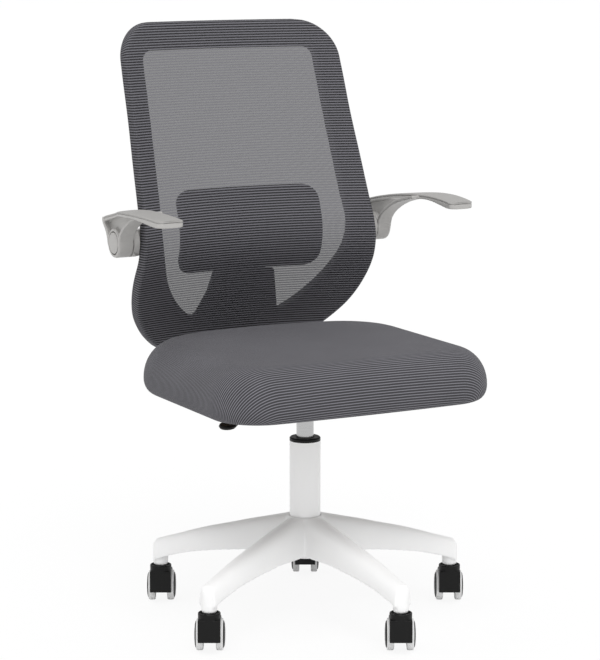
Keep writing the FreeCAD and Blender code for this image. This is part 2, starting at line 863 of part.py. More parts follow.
def seat_outline(inset, corner_share=1.0):
    """Plan outline of the seat, drawn in evenly: bowed front and rear edges between round corners."""
    half = s.seat_half_width - inset
    front = -s.seat_front + inset
    rear = s.seat_rear - inset
    front_corner = s.front_corner - inset * corner_share
    rear_corner = s.rear_corner - inset * corner_share
    front_reach = half - front_corner * (1 - sine(s.front_bow))
    rear_reach = half - rear_corner * (1 - sine(s.rear_bow))
    front_bend = front_reach / sine(s.front_bow)
    rear_bend = rear_reach / sine(s.rear_bow)
    front_end = front + front_bend * (1 - cosine(s.front_bow))
    rear_end = rear - rear_bend * (1 - cosine(s.rear_bow))
    return [
        (-front_reach, front_end, front_bend), (front_reach, front_end, front_corner),
        (half, front_end + front_corner * cosine(s.front_bow), 0),
        (half, rear_end - rear_corner * cosine(s.rear_bow), rear_corner),
        (rear_reach, rear_end, rear_bend), (-rear_reach, rear_end, rear_corner),
        (-half, rear_end - rear_corner * cosine(s.rear_bow), 0),
        (-half, front_end + front_corner * cosine(s.front_bow), front_corner),
    ]


def seat_board():
    """Plywood board with holes for the bolts."""
    body = new_body("seat_board")
    pad(body, "XY_Plane", [seat_outline(s.board_inset)], s.board_bottom, s.board_thickness)
    for x, y in plate_bolt_spots() + bracket_bolt_spots():
        drill(body, s.bolt_radius + s.running_gap, s.board_thickness + 2 * OVERRUN, (x, y, s.board_bottom - OVERRUN))


def seat_cushion():
    """Foam cushion with drawn-in sides and a crown, hollow below where the board sits."""
    sections = []
    for share, inset in CUSHION_LEVELS:
        wire = wire_of(seat_outline(inset, CORNER_SHARE))
        wire.translate(Vector(0, 0, float(s.hem_bottom + (s.cushion_top - s.hem_bottom) * share)))
        sections.append(wire)
    cushion = Part.makeLoft(sections, True, True)
    room = Part.Face(wire_of(seat_outline(s.board_inset - s.seat_gap)))
    room.translate(Vector(0, 0, float(s.board_bottom)))
    shaped("seat_cushion", cushion.cut(room.extrude(Vector(0, 0, float(s.board_thickness + s.seat_gap)))))


def seat_fasteners():
    """Bolts of the plate and the bracket."""
    plate_bolt = bolt_shape(s.bolt_radius, s.plate_wall + s.board_thickness, s.bolt_head_radius, s.bolt_head_height)
    bracket_bolt = bolt_shape(s.bolt_radius, s.bracket_thickness + s.board_thickness, s.bolt_head_radius,
                              s.bolt_head_height)
    low = s.board_bottom
    plate_spots = [(x, y, low - s.plate_wall) for x, y in plate_bolt_spots()]
    bracket_spots = [(x, y, low - s.bracket_thickness) for x, y in bracket_bolt_spots()]
    bolts = copies(plate_bolt, plate_spots).Solids + copies(bracket_bolt, bracket_spots).Solids
    shaped("seat_bolts", Part.makeCompound(bolts))


def slope(lean):
    """Run per rise of a leaning line."""
    return sine(lean) / cosine(lean)


def back_line(depth):
    """Upright line of the back at a depth behind its front: flats round the lumbar curve, between straight runs."""
    step = (s.lower_lean + s.upper_lean) / LUMBAR_BENDS
    radius = (s.lumbar_radius - depth) / cosine(step / 2)
    line = []
    for index in range(LUMBAR_BENDS):
        angle = step * (index + 0.5) - s.lower_lean
        line.append((s.plan_radius + s.lumbar_radius - radius * cosine(angle), s.lumbar_z + radius * sine(angle)))
    low = s.foot_z - s.slab_spare
    high = s.back_top + s.slab_spare
    foot = line[0][0] + (line[0][1] - low) * slope(s.lower_lean)
    head = line[-1][0] + (high - line[-1][1]) * slope(s.upper_lean)
    return [(foot, low)] + line + [(head, high)]


def slab_path(front, rear):
    """Upright profile of a curved layer of the back."""
    loop = back_line(rear) + back_line(front)[::-1]
    return [(x, z, 0) for x, z in loop]


def back_layer(label, front, rear, outline):
    """Curved layer of the back, turned about an upright axis in front of the sitter and cut to an outline."""
    body = new_body(label)
    revolve(body, slab_path(size_of(front), size_of(rear)), float(s.slab_sweep), "YZ_Plane")
    trim(body, "XZ_Plane", outline, 2 * s.back_top)
    place(body, (0, s.lumbar_y - s.plan_radius, 0))
    return body


def frame_outline():
    """Front outline of the back frame: round shoulders, a slight waist and hips drawn in to a foot."""
    return mirrored_path([
        (s.foot_half, s.foot_z, s.foot_bend), (s.hip_half, s.hip_z, s.hip_bend), (s.waist_half, s.waist_z, 0),
        (s.shoulder_half, s.shoulder_z, 0), (s.back_top_half, s.back_top - s.back_corner, s.back_corner),
        (s.back_top_half - s.back_corner, s.back_top, 0),
    ])


def opening_outline():
    """Front outline of the frame's opening, with the lumbar post standing in it from below."""
    right = [
        (s.post_foot_half, s.post_foot_z, s.opening_hip_bend),
        (s.opening_hip_half, s.opening_hip_z, s.opening_hip_bend),
        (s.opening_waist_half, s.opening_waist_z, 0), (s.opening_shoulder_half, s.shoulder_z, 0),
        (s.opening_top_half, s.opening_top - s.opening_corner, s.opening_corner),
        (s.opening_top_half - s.opening_corner, s.opening_top, 0),
    ]
    post = [(-s.post_top_half, s.post_top_z, 0), (s.post_top_half, s.post_top_z, 0)]
    return mirrored_path(right) + post


def back_rear(depth, z):
    """Y of the lower straight run of the back's middle line, at a depth behind the mesh side."""
    x, level = back_line(depth)[1]
    return x + (level - z) * slope(s.lower_lean) + s.lumbar_y - s.plan_radius


def back():
    """Frame, mesh, lumbar pad with its plate, and the carrier on the frame's post."""
    frame = back_layer("back_frame", 0, s.frame_depth, frame_outline())
    pierce(frame, "XZ_Plane", [opening_outline()])
    back_layer("back_mesh", -s.seat_gap - s.mesh_thickness, -s.seat_gap, frame_outline())
    pad_rear = s.pad_front + s.pad_thickness
    inset = s.pad_plate_inset
    back_layer("lumbar_pad", s.pad_front, pad_rear,
               rounded_path(-s.pad_half, s.pad_half, s.pad_bottom, s.pad_top, s.pad_corner))
    back_layer("lumbar_plate", pad_rear + s.seat_gap, pad_rear + s.pad_plate,
               rounded_path(-s.pad_half + inset, s.pad_half - inset, s.pad_bottom + inset, s.pad_top - inset,
                            s.pad_corner - inset))
    carrier = s.frame_depth + s.seat_gap
    back_layer("lumbar_carrier", carrier, carrier + s.carrier_thickness, mirrored_path([
        (s.carrier_foot_half, s.carrier_foot_z, 0), (s.carrier_top_half, s.carrier_top_z, 0),
    ]))


def back_bracket():
    """Flat bar bent from under the seat up behind the frame's foot."""
    front = s.frame_depth + s.seat_gap
    rear = front + s.bracket_thickness
    top = s.board_bottom
    low = top - s.bracket_thickness
    body = new_body("back_bracket")
    pad(body, "YZ_Plane", [[
        (s.bracket_front, low, 0), (back_rear(rear, low), low, 0), (back_rear(rear, s.bracket_top), s.bracket_top, 0),
        (back_rear(front, s.bracket_top), s.bracket_top, 0), (back_rear(front, top), top, 0),
        (s.bracket_front, top, 0),
    ]], -s.bracket_half, s.bracket_half * 2)
    inside = Vector(0, float(back_rear(front, top)), float(top))
    outside = Vector(0, float(back_rear(rear, low)), float(low))
    fillet(body, s.bracket_bend, lambda edge: edge.CenterOfMass.distanceToPoint(inside) < TOUCH)
    outer_bend = s.bracket_bend + s.bracket_thickness
    fillet(body, outer_bend, lambda edge: edge.CenterOfMass.distanceToPoint(outside) < TOUCH)
    for x, y in bracket_bolt_spots():
        drill(body, s.bolt_radius + s.running_gap, s.bracket_thickness + 2 * OVERRUN, (x, y, low - OVERRUN))


def arm_top_bend(depth):
    """Radius of the arm's top curve at a depth under it."""
    return s.arm_crown - depth


def sided(path, side):
    """Path of the left side, or its mirror image for the right side."""
    if side > 0:
        return path
    return [(-size_of(path[i][0]), path[i][1], path[i - 1][2]) for i in range(len(path))][::-1]


def arm_plan():
    """Plan outline of the left arm's top: blunt at the tip, drawn in to the web at the rear."""
    left, right, corner = s.arm_plate_inner, s.arm_plate_outer, s.arm_tip_corner
    inner, outer = s.arm_inner, s.arm_inner + s.arm_web
    front, rear = -s.arm_tip, s.arm_rear
    return [
        (left + corner, front, 0), (right - corner, front, corner), (right, front + corner, 0),
        (right, s.arm_flare_front, 0), (outer, s.arm_flare_rear, 0), (outer, rear, 0), (inner, rear, 0),
        (inner, s.arm_shift_rear, 0), (left, s.arm_shift_front, 0), (left, front + corner, corner),
    ]


def span_start(side, low, width):
    """Start along X of a span on one side of the chair."""
    return low if side > 0 else -low - width


def arm(side, name):
    """Flip-up arm: shell with a hub and a web recessed on both sides, a top pad and a cap, on a bracket."""
    depth = s.arm_pad_depth
    out = Vector(side, 0, 0)
    inner = s.arm_inner
    width = s.arm_plate_outer - inner
    plan = sided(arm_plan(), side)
    seam_tip = (-s.arm_tip, s.arm_tip_top - depth)
    seam_rear = (s.arm_rear, s.arm_rear_top - depth)
    shell = new_body("arm_" + name)
    pad(shell, "YZ_Plane", [[
        (-s.arm_tip, s.arm_tip_top - depth - s.arm_shell_tip, 0), (s.arm_shell_front_y, s.arm_shell_z, 0),
        (s.arm_shell_rear_y, s.arm_shell_z, 0), (s.arm_rear, s.arm_rear_top - depth - s.arm_shell_rear, 0),
        seam_rear + (arm_top_bend(depth),), seam_tip + (0,),
    ]], span_start(side, inner, width), width)
    trim(shell, "XY_Plane", plan, 4 * s.arm_rear)
    hub_y, hub_z, hub = s.arm_axis_y, s.arm_axis_z, s.arm_hub_radius
    web = [
        (hub_y - s.arm_neck_half, hub_z - s.arm_neck_drop, 0), (hub_y + s.arm_neck_half, hub_z - s.arm_neck_drop, 0),
        (hub_y + s.arm_heel, hub_z + s.arm_heel_rise, 0), (s.arm_rear, s.arm_rear_top - depth - s.arm_joint, 0),
        (s.arm_front_y, s.arm_shell_z, -s.arm_front_bend), (hub_y - hub, hub_z + s.arm_neck_rise, 0),
    ]
    pad(shell, "YZ_Plane", [web], span_start(side, inner, s.arm_web), s.arm_web)
    boss(shell, hub, s.arm_web, (inner * side, hub_y, hub_z), out)
    land = hub + s.arm_recess_land
    recess = [
        (hub_y - land * 0.72, hub_z + land * 0.7, 0), (hub_y - land * 0.33, hub_z + land * 0.95, 0),
        (hub_y + land * 0.33, hub_z + land * 0.95, 0), (hub_y + land * 0.8, hub_z + land * 0.7, 0),
        (s.arm_rear - s.arm_recess_rear, s.arm_rear_top - s.arm_recess_drop, 0),
        (s.arm_recess_front_y, s.arm_recess_front_z, 0),
    ]
    outer = inner + s.arm_web
    inside = s.arm_web - s.arm_recess_wall - s.arm_recess_outer
    for low, recess_depth in ((inner, inside), (outer - s.arm_recess_outer, s.arm_recess_outer)):
        pocket(shell, "YZ_Plane", [recess], span_start(side, low, recess_depth), recess_depth)
    gap = s.running_gap
    head_room = s.arm_cap_recess
    drill(shell, s.arm_bolt_radius + gap, s.arm_web + 2 * OVERRUN, ((inner - OVERRUN) * side, hub_y, hub_z), out)
    drill(shell, s.arm_bolt_head + s.seat_gap, head_room + OVERRUN, ((outer - head_room) * side, hub_y, hub_z), out)
    cover = new_body("arm_pad_" + name)
    lift = depth - gap
    pad(cover, "YZ_Plane", [[
        (-s.arm_tip, s.arm_tip_top - lift, -arm_top_bend(lift)), (s.arm_rear, s.arm_rear_top - lift, 0),
        (s.arm_rear, s.arm_rear_top, s.arm_crown), (-s.arm_tip, s.arm_tip_top, 0),
    ]], span_start(side, inner, width), width)
    trim(cover, "XY_Plane", plan, 4 * s.arm_rear)
    crown = arc_centre(Vector(float(s.arm_rear), float(s.arm_rear_top), 0),
                       Vector(-float(s.arm_tip), float(s.arm_tip_top), 0), float(s.arm_crown))
    narrow = float(s.arm_shift_rear)
    bevel(cover, s.arm_pad_bevel, lambda edge: on_crown(edge, crown) and edge.CenterOfMass.y < narrow)
    cap = new_body("arm_cap_" + name)
    boss(cap, s.arm_cap_radius, s.arm_cap_thickness, ((outer + gap) * side, hub_y, hub_z), out)
    far = float(outer + gap + s.arm_cap_thickness)
    bevel(cap, s.arm_cap_thickness / 3, lambda edge: abs(abs(edge.CenterOfMass.x) - far) < TOUCH)
    arm_bracket(side, name)


def on_crown(edge, centre):
    """Whether an edge lies on the arm's top curve."""
    reach = [math.hypot(point.y - centre.x, point.z - centre.y) for point in edge.discretize(5)]
    return all(abs(value - float(s.arm_crown)) < TOUCH for value in reach)


def arm_bracket(side, name):
    """Bracket behind the frame's side, with a round flange that the arm's hub turns against."""
    front = s.frame_depth + s.seat_gap
    inner, outer = s.tongue_inner, s.arm_inner - s.seat_gap
    left, right = (inner, outer) if side > 0 else (-outer, -inner)
    z = s.arm_axis_z
    bracket = back_layer("arm_bracket_" + name, front, front + s.tongue_thickness,
                         rounded_path(left, right, z - s.tongue_half, z + s.tongue_half, s.tongue_corner))
    axis_y = s.arm_axis_y - s.lumbar_y + s.plan_radius
    out = Vector(side, 0, 0)
    boss(bracket, s.arm_hub_radius, outer - s.flange_inner, (s.flange_inner * side, axis_y, z), out)
    drill(bracket, s.arm_bolt_radius + s.running_gap, outer - s.flange_inner + OVERRUN,
          (s.flange_inner * side, axis_y, z), out)


def arm_pivot_bolts():
    """Bolt of each arm, from the flange to its head in the arm's hub."""
    head = s.arm_inner + s.arm_web - s.arm_cap_recess
    length = head - s.flange_inner
    bolts = []
    for side in (-1, 1):
        bolt = bolt_shape(s.arm_bolt_radius, length, s.arm_bolt_head, s.arm_bolt_head_height)
        bolt.Placement = Placement(Vector(side * float(head), float(s.arm_axis_y), float(s.arm_axis_z)),
                                   Rotation(Vector(0, 0, 1), Vector(-side, 0, 0)))
        bolts.append(bolt)
    shaped("arm_pivot_bolts", Part.makeCompound(bolts))


def caster_hood(index):
    """Hood of a caster: front plate, web between the wheels and fenders over them."""
    body = new_body("caster_%d_hood" % (index + 1))
    fender = s.wheel_radius + s.fender_gap + s.fender_wall
    axle_x, axle_z = s.caster_trail, s.wheel_radius
    end_x = axle_x + fender * cosine(s.fender_end)
    end_z = axle_z + fender * sine(s.fender_end)
    pad(body, "XZ_Plane", [[
        (-s.hood_reach, s.hood_lip, 0), (axle_x - s.web_half, s.web_bottom, 0),
        (axle_x + s.web_half, s.web_bottom, 0), (end_x, end_z, fender),
        (axle_x, axle_z + fender, 0), (0, s.hood_top - s.collar_height, 0),
        (-s.hood_reach, s.hood_top - s.collar_height, 0),
    ]], -s.hood_half, s.hood_half * 2)
    boss(body, s.hood_half, s.hood_top - axle_z, (0, 0, axle_z))
    web = s.wheel_inset - s.web_gap
    for side in (-1, 1):
        drill(body, s.wheel_radius + s.fender_gap, s.hood_half, (axle_x, side * web, axle_z), Vector(0, side, 0))
    depth = s.stem_depth + OVERRUN
    drill(body, s.stem_radius + s.running_gap, depth + OVERRUN, (0, 0, s.hood_top - depth))
    drill(body, s.axle_radius + s.running_gap / 2, s.hood_half * 2, (axle_x, -s.hood_half, axle_z), Vector(0, 1, 0))
    seat_caster(body, index)
    axle = new_body("caster_%d_axle" % (index + 1))
    length = s.wheel_inset + s.tread_width
    boss(axle, s.axle_radius, length * 2, (axle_x, -length, axle_z), Vector(0, 1, 0))
    seat_caster(axle, index)


def seat_caster(body, index):
    """Puts a caster's body under its stem, turned to its heading."""
    place(body, stem_spot(index))
    body.Placement = Placement(body.Placement.Base, Rotation(Vector(0, 0, 1), float(s.caster_turn)))


def caster_wheel(index, side, name):
    """Wheel of a caster: a tread and a raised hub disc moulded in one."""
    low, high = s.wheel_inset, s.wheel_inset + s.tread_width
    crown = high + s.hub_rise
    bore = s.axle_radius + s.running_gap
    body = new_body("caster_%d_wheel_%s" % (index + 1, name))
    revolve(body, [
        (bore, low, 0), (s.wheel_radius, low, 0), (s.wheel_radius, high, 0), (s.hub_disc, high, 0),
        (s.hub_disc, crown, 0), (0, crown, 0), (0, high + s.running_gap, 0), (bore, high + s.running_gap, 0),
    ])
    heading = math.radians(float(s.caster_turn))
    axis = Vector(-side * math.sin(heading), side * math.cos(heading), 0)
    x, y, z = stem_spot(index)
    trail = s.caster_trail
    place(body, (x + trail * cosine(s.caster_turn), y + trail * sine(s.caster_turn), s.wheel_radius), axis)


def build():
    """Makes every piece of the chair."""
    star_base()
    caster_stems()
    stand_tube()
    guide_bush()
    piston_parts()
    pressure_cylinder()
    mechanism_plate()
    lever()
    seat_board()
    seat_cushion()
    seat_fasteners()
    back()
    back_bracket()
    for side, name in ((-1, "right"), (1, "left")):
        arm(side, name)
    arm_pivot_bolts()
    for index in range(LEG_COUNT):
        caster_hood(index)
        for side, name in ((-1, "right"), (1, "left")):
            caster_wheel(index, side, name)


def export():
    """Checks every object and writes one file per node."""
    document.recompute()
    for thing in document.Objects:
        if "Invalid" in thing.State or "Error" in thing.State:
            raise RuntimeError("%s failed: %s" % (thing.Label, thing.State))
    for node in nodes:
        if node.Shape.isNull() or not node.Shape.isValid():
            raise RuntimeError("%s has no valid shape" % node.Label)
    os.makedirs("parts", exist_ok=True)
    for node in nodes:
        node.Shape.exportStep("parts/%s.step" % node.Label)
        print("%-24s solids %d volume %.1f" % (node.Label, len(node.Shape.Solids), node.Shape.Volume))


build()
export()
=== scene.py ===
"""Mesh-back office chair: the looks of its fabric, plastic and metal, in metres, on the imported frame.

The sitter faces -Y. The soft and moulded pieces are modelled here; small steel pieces keep their solids.
"""
import bmesh
import bpy
import json
import math
from mathutils import Matrix, Vector


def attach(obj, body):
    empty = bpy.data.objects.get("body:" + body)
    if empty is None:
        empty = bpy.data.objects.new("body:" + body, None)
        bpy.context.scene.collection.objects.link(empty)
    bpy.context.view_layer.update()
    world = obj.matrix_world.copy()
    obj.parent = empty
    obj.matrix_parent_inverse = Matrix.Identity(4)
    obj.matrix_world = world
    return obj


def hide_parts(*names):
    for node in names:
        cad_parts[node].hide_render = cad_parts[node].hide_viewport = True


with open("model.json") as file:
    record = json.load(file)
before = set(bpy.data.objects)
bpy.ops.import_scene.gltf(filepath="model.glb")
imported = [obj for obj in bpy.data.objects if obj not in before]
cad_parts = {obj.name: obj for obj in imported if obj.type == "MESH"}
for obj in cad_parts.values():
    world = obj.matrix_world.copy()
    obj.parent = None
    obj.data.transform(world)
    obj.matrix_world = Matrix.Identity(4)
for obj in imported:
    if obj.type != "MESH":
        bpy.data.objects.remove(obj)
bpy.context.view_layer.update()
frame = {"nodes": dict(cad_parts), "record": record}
nodes = frame["nodes"]

MM = 0.001
MERGE = 1e-6  # Points this close, in metres, are one
# Colour sockets of a Mix node, which share their names with its other kinds
MIX_FIRST, MIX_SECOND, MIX_RESULT = 6, 7, 2


class Socket:
    """An output of a shader node; arithmetic on it adds Math nodes to its finish."""

    def __init__(self, finish, socket):
        self.finish = finish
        self.socket = socket

    def maths(self, operation, first, second):
        return self.finish.node("ShaderNodeMath", {"operation": operation}, {0: first, 1: second})

    def __add__(self, other):
        return self.maths("ADD", self, other)

    def __radd__(self, other):
        return self.maths("ADD", other, self)

    def __sub__(self, other):
        return self.maths("SUBTRACT", self, other)

    def __rsub__(self, other):
        return self.maths("SUBTRACT", other, self)

    def __mul__(self, other):
        return self.maths("MULTIPLY", self, other)

    def __rmul__(self, other):
        return self.maths("MULTIPLY", other, self)


class Finish:
    """A material whose nodes are added by expressions."""

    def __init__(self, name, **fixed):
        self.material = bpy.data.materials.new(name)
        self.material.use_nodes = True
        self.tree = self.material.node_tree
        self.shader = self.tree.nodes["Principled BSDF"]
        self.set(**fixed)

    def node(self, kind, settings=None, sockets=None, output=0):
        """Adds a node: its settings first, then the values or links of its sockets."""
        made = self.tree.nodes.new(kind)
        for name, value in (settings or {}).items():
            setattr(made, name, value)
        for name, value in (sockets or {}).items():
            self.feed(made.inputs[name], value)
        return Socket(self, made.outputs[output])

    def feed(self, socket, value):
        """Links an output to a socket, or sets its value."""
        if isinstance(value, Socket):
            self.tree.links.new(value.socket, socket)
        else:
            socket.default_value = value

    def set(self, **values):
        """Feeds the shader's sockets, named in small letters."""
        for name, value in values.items():
            self.feed(self.shader.inputs[name.replace("_", " ").title().replace("Ior", "IOR")], value)

    def place(self):
        """The piece's own coordinates."""
        return self.node("ShaderNodeTexCoord", output="Object")

    def attribute(self, name):
        """A value that the mesh carries at its vertices."""
        return self.node("ShaderNodeAttribute", {"attribute_name": name}, output="Fac")

    def noise(self, scale, detail=3.0, vector=None):
        """Soft noise from 0 to 1."""
        return self.node("ShaderNodeTexNoise", None,
                         {"Vector": vector or self.place(), "Scale": scale, "Detail": detail}, "Fac")

    def stretched(self, scale):
        """The piece's coordinates stretched, for streaks."""
        return self.node("ShaderNodeMapping", None, {"Vector": self.place(), "Scale": scale})

    def wave(self, run, pitch):
        """Smooth wave from 0 to 1 along a length, one per pitch."""
        turn = run * (2 * math.pi / pitch)
        return self.node("ShaderNodeMath", {"operation": "SINE"}, {0: turn}) * 0.5 + 0.5

    def between(self, low, high, share):
        """Colour between two colours."""
        return self.node("ShaderNodeMix", {"data_type": "RGBA"},
                         {"Factor": share, MIX_FIRST: tuple(low) + (1.0,), MIX_SECOND: tuple(high) + (1.0,)},
                         MIX_RESULT)

    def ramp(self, value, low, high):
        """Value from 0 to 1 between two levels."""
        return self.node("ShaderNodeMapRange", None,
                         {"Value": value, "From Min": low, "From Max": high})

    def bump(self, height, distance, strength):
        """Raises the surface by a height from 0 to 1 times a distance."""
        self.set(normal=self.node("ShaderNodeBump", None,
                                  {"Height": height, "Distance": distance, "Strength": strength}))


def light(level):
    """Linear light of a level in a picture, from 0 to 255."""
    return (level / 255.0) ** 2.2


def grey(level, warmth=0.0):
    """Grey with a little warmth, from its level in a picture."""
    linear = light(level)
    return (linear * (1 + warmth), linear, linear * (1 - 1.4 * warmth))


def violet(level):
    """Grey of the chair's yarns, with a slight violet cast."""
    linear = light(level)
    return (linear * 1.02, linear, linear * 1.13)


def moulded(name, level, warmth=0.0, roughness=0.45, grain=0.00012, size=900.0, shine=0.5):
    """Moulded plastic: fine grain and slow shifts of shade."""
    finish = Finish(name, specular_ior_level=shine)
    slow = finish.noise(9.0)
    fine = finish.noise(size, 2.0)
    finish.set(base_color=finish.between(grey(level - 4, warmth), grey(level + 4, warmth), slow),
               roughness=roughness + 0.12 * (slow - 0.5) + 0.06 * (fine - 0.5))
    finish.bump(fine, grain, 0.5)
    return finish.material


def powder_coat(name, level, roughness=0.32):
    """Powder coat with its orange peel."""
    finish = Finish(name)
    peel = finish.noise(520.0, 1.0)
    slow = finish.noise(7.0)
    finish.set(base_color=finish.between(grey(level - 3), grey(level + 3), slow),
               roughness=roughness + 0.1 * (peel - 0.5))
    finish.bump(peel, 0.0001, 0.4)
    return finish.material


def turned_metal(name, level, roughness, stretch):
    """Metal with fine tool marks round its axis and faint smudges."""
    finish = Finish(name, metallic=1.0)
    marks = finish.noise(1.0, 4.0, finish.stretched(stretch))
    smudge = finish.noise(30.0)
    finish.set(base_color=finish.between(grey(level - 10), grey(level + 6), marks),
               roughness=roughness + 0.1 * (marks - 0.5) + 0.12 * (smudge - 0.5))
    finish.bump(marks, 0.00003, 0.4)
    return finish.material


def rubber(name, level, roughness=0.7):
    """Rubber with a dusty skin."""
    finish = Finish(name)
    dust = finish.noise(60.0)
    fine = finish.noise(1500.0, 2.0)
    finish.set(base_color=finish.between(grey(level - 8), grey(level + 8), dust),
               roughness=roughness + 0.15 * (fine - 0.5))
    finish.bump(fine, 0.0001, 0.4)
    return finish.material


def plywood(name):
    """Pressed board: long grain, with layers along its edge."""
    finish = Finish(name)
    grain = finish.noise(1.0, 5.0, finish.stretched((220.0, 6.0, 40.0)))
    height = finish.node("ShaderNodeSeparateXYZ", None, {"Vector": finish.place()}, "Z")
    layers = finish.wave(height, 2.4 * MM)
    finish.set(base_color=finish.between((0.08, 0.055, 0.035), (0.16, 0.12, 0.08),
                                         grain * 0.8 + layers * 0.2),
               roughness=0.55 + 0.2 * grain)
    finish.bump(grain, 0.0002, 0.5)
    return finish.material


RIB_PITCH = 4.25 * MM  # Of the fabric's ribs, on the seat and the back


def ribbed_fabric(name):
    """Seat cover: raised ribs of light yarn with darker yarn between them."""
    finish = Finish(name, sheen_weight=0.06, sheen_roughness=0.5)
    along = finish.attribute("along")
    across = finish.attribute("across")
    wander = (finish.noise(40.0) - 0.5) * (0.5 * MM)
    rib = finish.wave(along + wander, RIB_PITCH)
    crest = finish.ramp(rib, 0.58, 0.94)
    stitch = finish.wave(across + along * 0.31, 1.7 * MM)
    fibre = finish.noise(2600.0, 2.0)
    cloud = finish.noise(14.0)
    yarn = crest * (0.7 + 0.3 * stitch) + 0.25 * (fibre - 0.5) + 0.2 * (cloud - 0.5)
    finish.set(base_color=finish.between(violet(55), violet(128), yarn), roughness=0.86 + 0.08 * fibre)
    finish.bump(rib * 0.8 + stitch * 0.2 + fibre * 0.15, 0.0005, 0.8)
    return finish.material


def ribbed_mesh(name):
    """Back cover: opaque ribs, with a fine open net between them."""
    finish = Finish(name)
    along = finish.attribute("along")
    across = finish.attribute("across")
    wander = (finish.noise(30.0) - 0.5) * (0.35 * MM)
    rib = finish.wave(along + wander, RIB_PITCH)
    crest = finish.ramp(rib, 0.45, 0.75)
    thread = finish.wave(across, 1.9 * MM)
    fibre = finish.noise(2400.0, 2.0)
    net = finish.ramp(thread, 0.25, 0.6)
    finish.set(base_color=finish.between(violet(48), violet(110), crest * 0.95 + 0.2 * (fibre - 0.5)),
               roughness=0.8 + 0.1 * fibre,
               alpha=0.97 * crest + (1 - crest) * (0.66 + 0.22 * net))
    finish.bump(rib + 0.2 * thread, 0.0004, 0.7)
    return finish.material


def plain_weave(name, level):
    """Dense dark cloth over foam."""
    finish = Finish(name, sheen_weight=0.15)
    side = finish.node("ShaderNodeSeparateXYZ", None, {"Vector": finish.place()}, "X")
    rise = finish.node("ShaderNodeSeparateXYZ", None, {"Vector": finish.place()}, "Z")
    weave = finish.wave(side, 1.6 * MM) * finish.wave(rise, 1.6 * MM)
    fibre = finish.noise(1800.0, 2.0)
    finish.set(base_color=finish.between(violet(level - 10), violet(level + 14),
                                         weave * 0.7 + fibre * 0.4),
               roughness=0.85 + 0.1 * fibre)
    finish.bump(weave, 0.0003, 0.6)
    return finish.material


# The finish of each material slot
finishes = {
    "base_plastic": moulded("white moulded plastic", 245, 0.0, 0.38, 0.00006),
    "tube_paint": powder_coat("white powder coat", 250),
    "black_plastic": moulded("black moulded plastic", 24, 0.0, 0.42, 0.0001, shine=0.2),
    "bright_steel": turned_metal("bright cylinder", 186, 0.2, (60.0, 60.0, 900.0)),
    "steel": turned_metal("plated steel", 175, 0.36, (500.0, 500.0, 700.0)),
    "wheel_rubber": rubber("light grey tread", 226, 0.62),
    "buffer_rubber": rubber("black rubber", 30),
    "black_steel": powder_coat("black powder coat", 38, 0.45),
    "plywood": plywood("pressed board"),
    "seat_fabric": ribbed_fabric("ribbed seat fabric"),
    "mesh": ribbed_mesh("ribbed mesh"),
    "pad_fabric": plain_weave("dark pad cloth", 40),
    "frame_plastic": moulded("charcoal frame plastic", 56, 0.0, 0.5),
    "arm_plastic": moulded("warm grey arm plastic", 173, 0.02, 0.48),
    "arm_pad": moulded("soft grey arm skin", 157, 0.02, 0.6, 0.0002, 700.0),
}
for part in frame["record"]["subparts"]:
    shown = nodes[part["node"]].data
    shown.materials.clear()
    shown.materials.append(finishes[part["material_slot"]])


def piece(name, mesh, body, slot, *stands_for):
    """Makes a finished mesh a piece of the chair."""
    data = bpy.data.meshes.new(name)
    bmesh.ops.recalc_face_normals(mesh, faces=mesh.faces)
    mesh.to_mesh(data)
    mesh.free()
    made = bpy.data.objects.new(name, data)
    bpy.context.scene.collection.objects.link(made)
    data.materials.append(finishes[slot])
    data.shade_smooth()
    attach(made, body)
    if stands_for:
        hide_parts(*stands_for)
    return made


# Shaping tools
def eased(low, high, value):
    """Smooth step from 0 to 1 between two levels."""
    share = min(max((value - low) / (high - low), 0.0), 1.0)
    return share * share * (3 - 2 * share)


def smooth_line(line, at):
    """Value of a smooth curve through a line of points, at a place along it."""
    last = len(line) - 2
    index = next((i for i in range(last) if at < line[i + 1][0]), last)
    before, start, end, after = (line[min(max(index + step, 0), last + 1)] for step in (-1, 0, 1, 2))
    span = end[0] - start[0]
    share = min(max((at - start[0]) / span, 0.0), 1.0)
    rise = (end[1] - before[1]) / (end[0] - before[0]) * span
    run_out = (after[1] - start[1]) / (after[0] - start[0]) * span
    bend = 2 * start[1] - 2 * end[1] + rise + run_out
    turn = 3 * (end[1] - start[1]) - 2 * rise - run_out
    return start[1] + share * (rise + share * (turn + share * bend))


def arc_points(start, end, bend, count):
    """Points from a start up to an end, along an arc that turns left or, where its bend is 0, a line."""
    start, end = Vector(start), Vector(end)
    if bend == 0:
        return [start.lerp(end, step / count) for step in range(count)]
    half = (end - start) / 2
    left = Vector((-half.y, half.x)).normalized()
    centre = start + half + left * math.sqrt(bend * bend - half.length_squared)
    sweep = 2 * math.asin(half.length / bend)
    return [centre + Matrix.Rotation(sweep * step / count, 2) @ (start - centre)
            for step in range(count)]


def outline(side, counts):
    """Closed outline from its right side, listed upwards from the middle line and back to it."""
    right = []
    for (x0, z0, bend), (x1, z1, after), count in zip(side, side[1:], counts):
        right += arc_points((x0, z0), (x1, z1), bend, count)
    right.append(Vector(side[-1][:2]))
    return right + [Vector((-x, z)) for x, z in reversed(right[1:-1])]


def loop(mesh, points):
    """Closed loop of edges through points."""
    verts = [mesh.verts.new(point) for point in points]
    return [mesh.edges.new(pair) for pair in zip(verts, verts[1:] + verts[:1])]


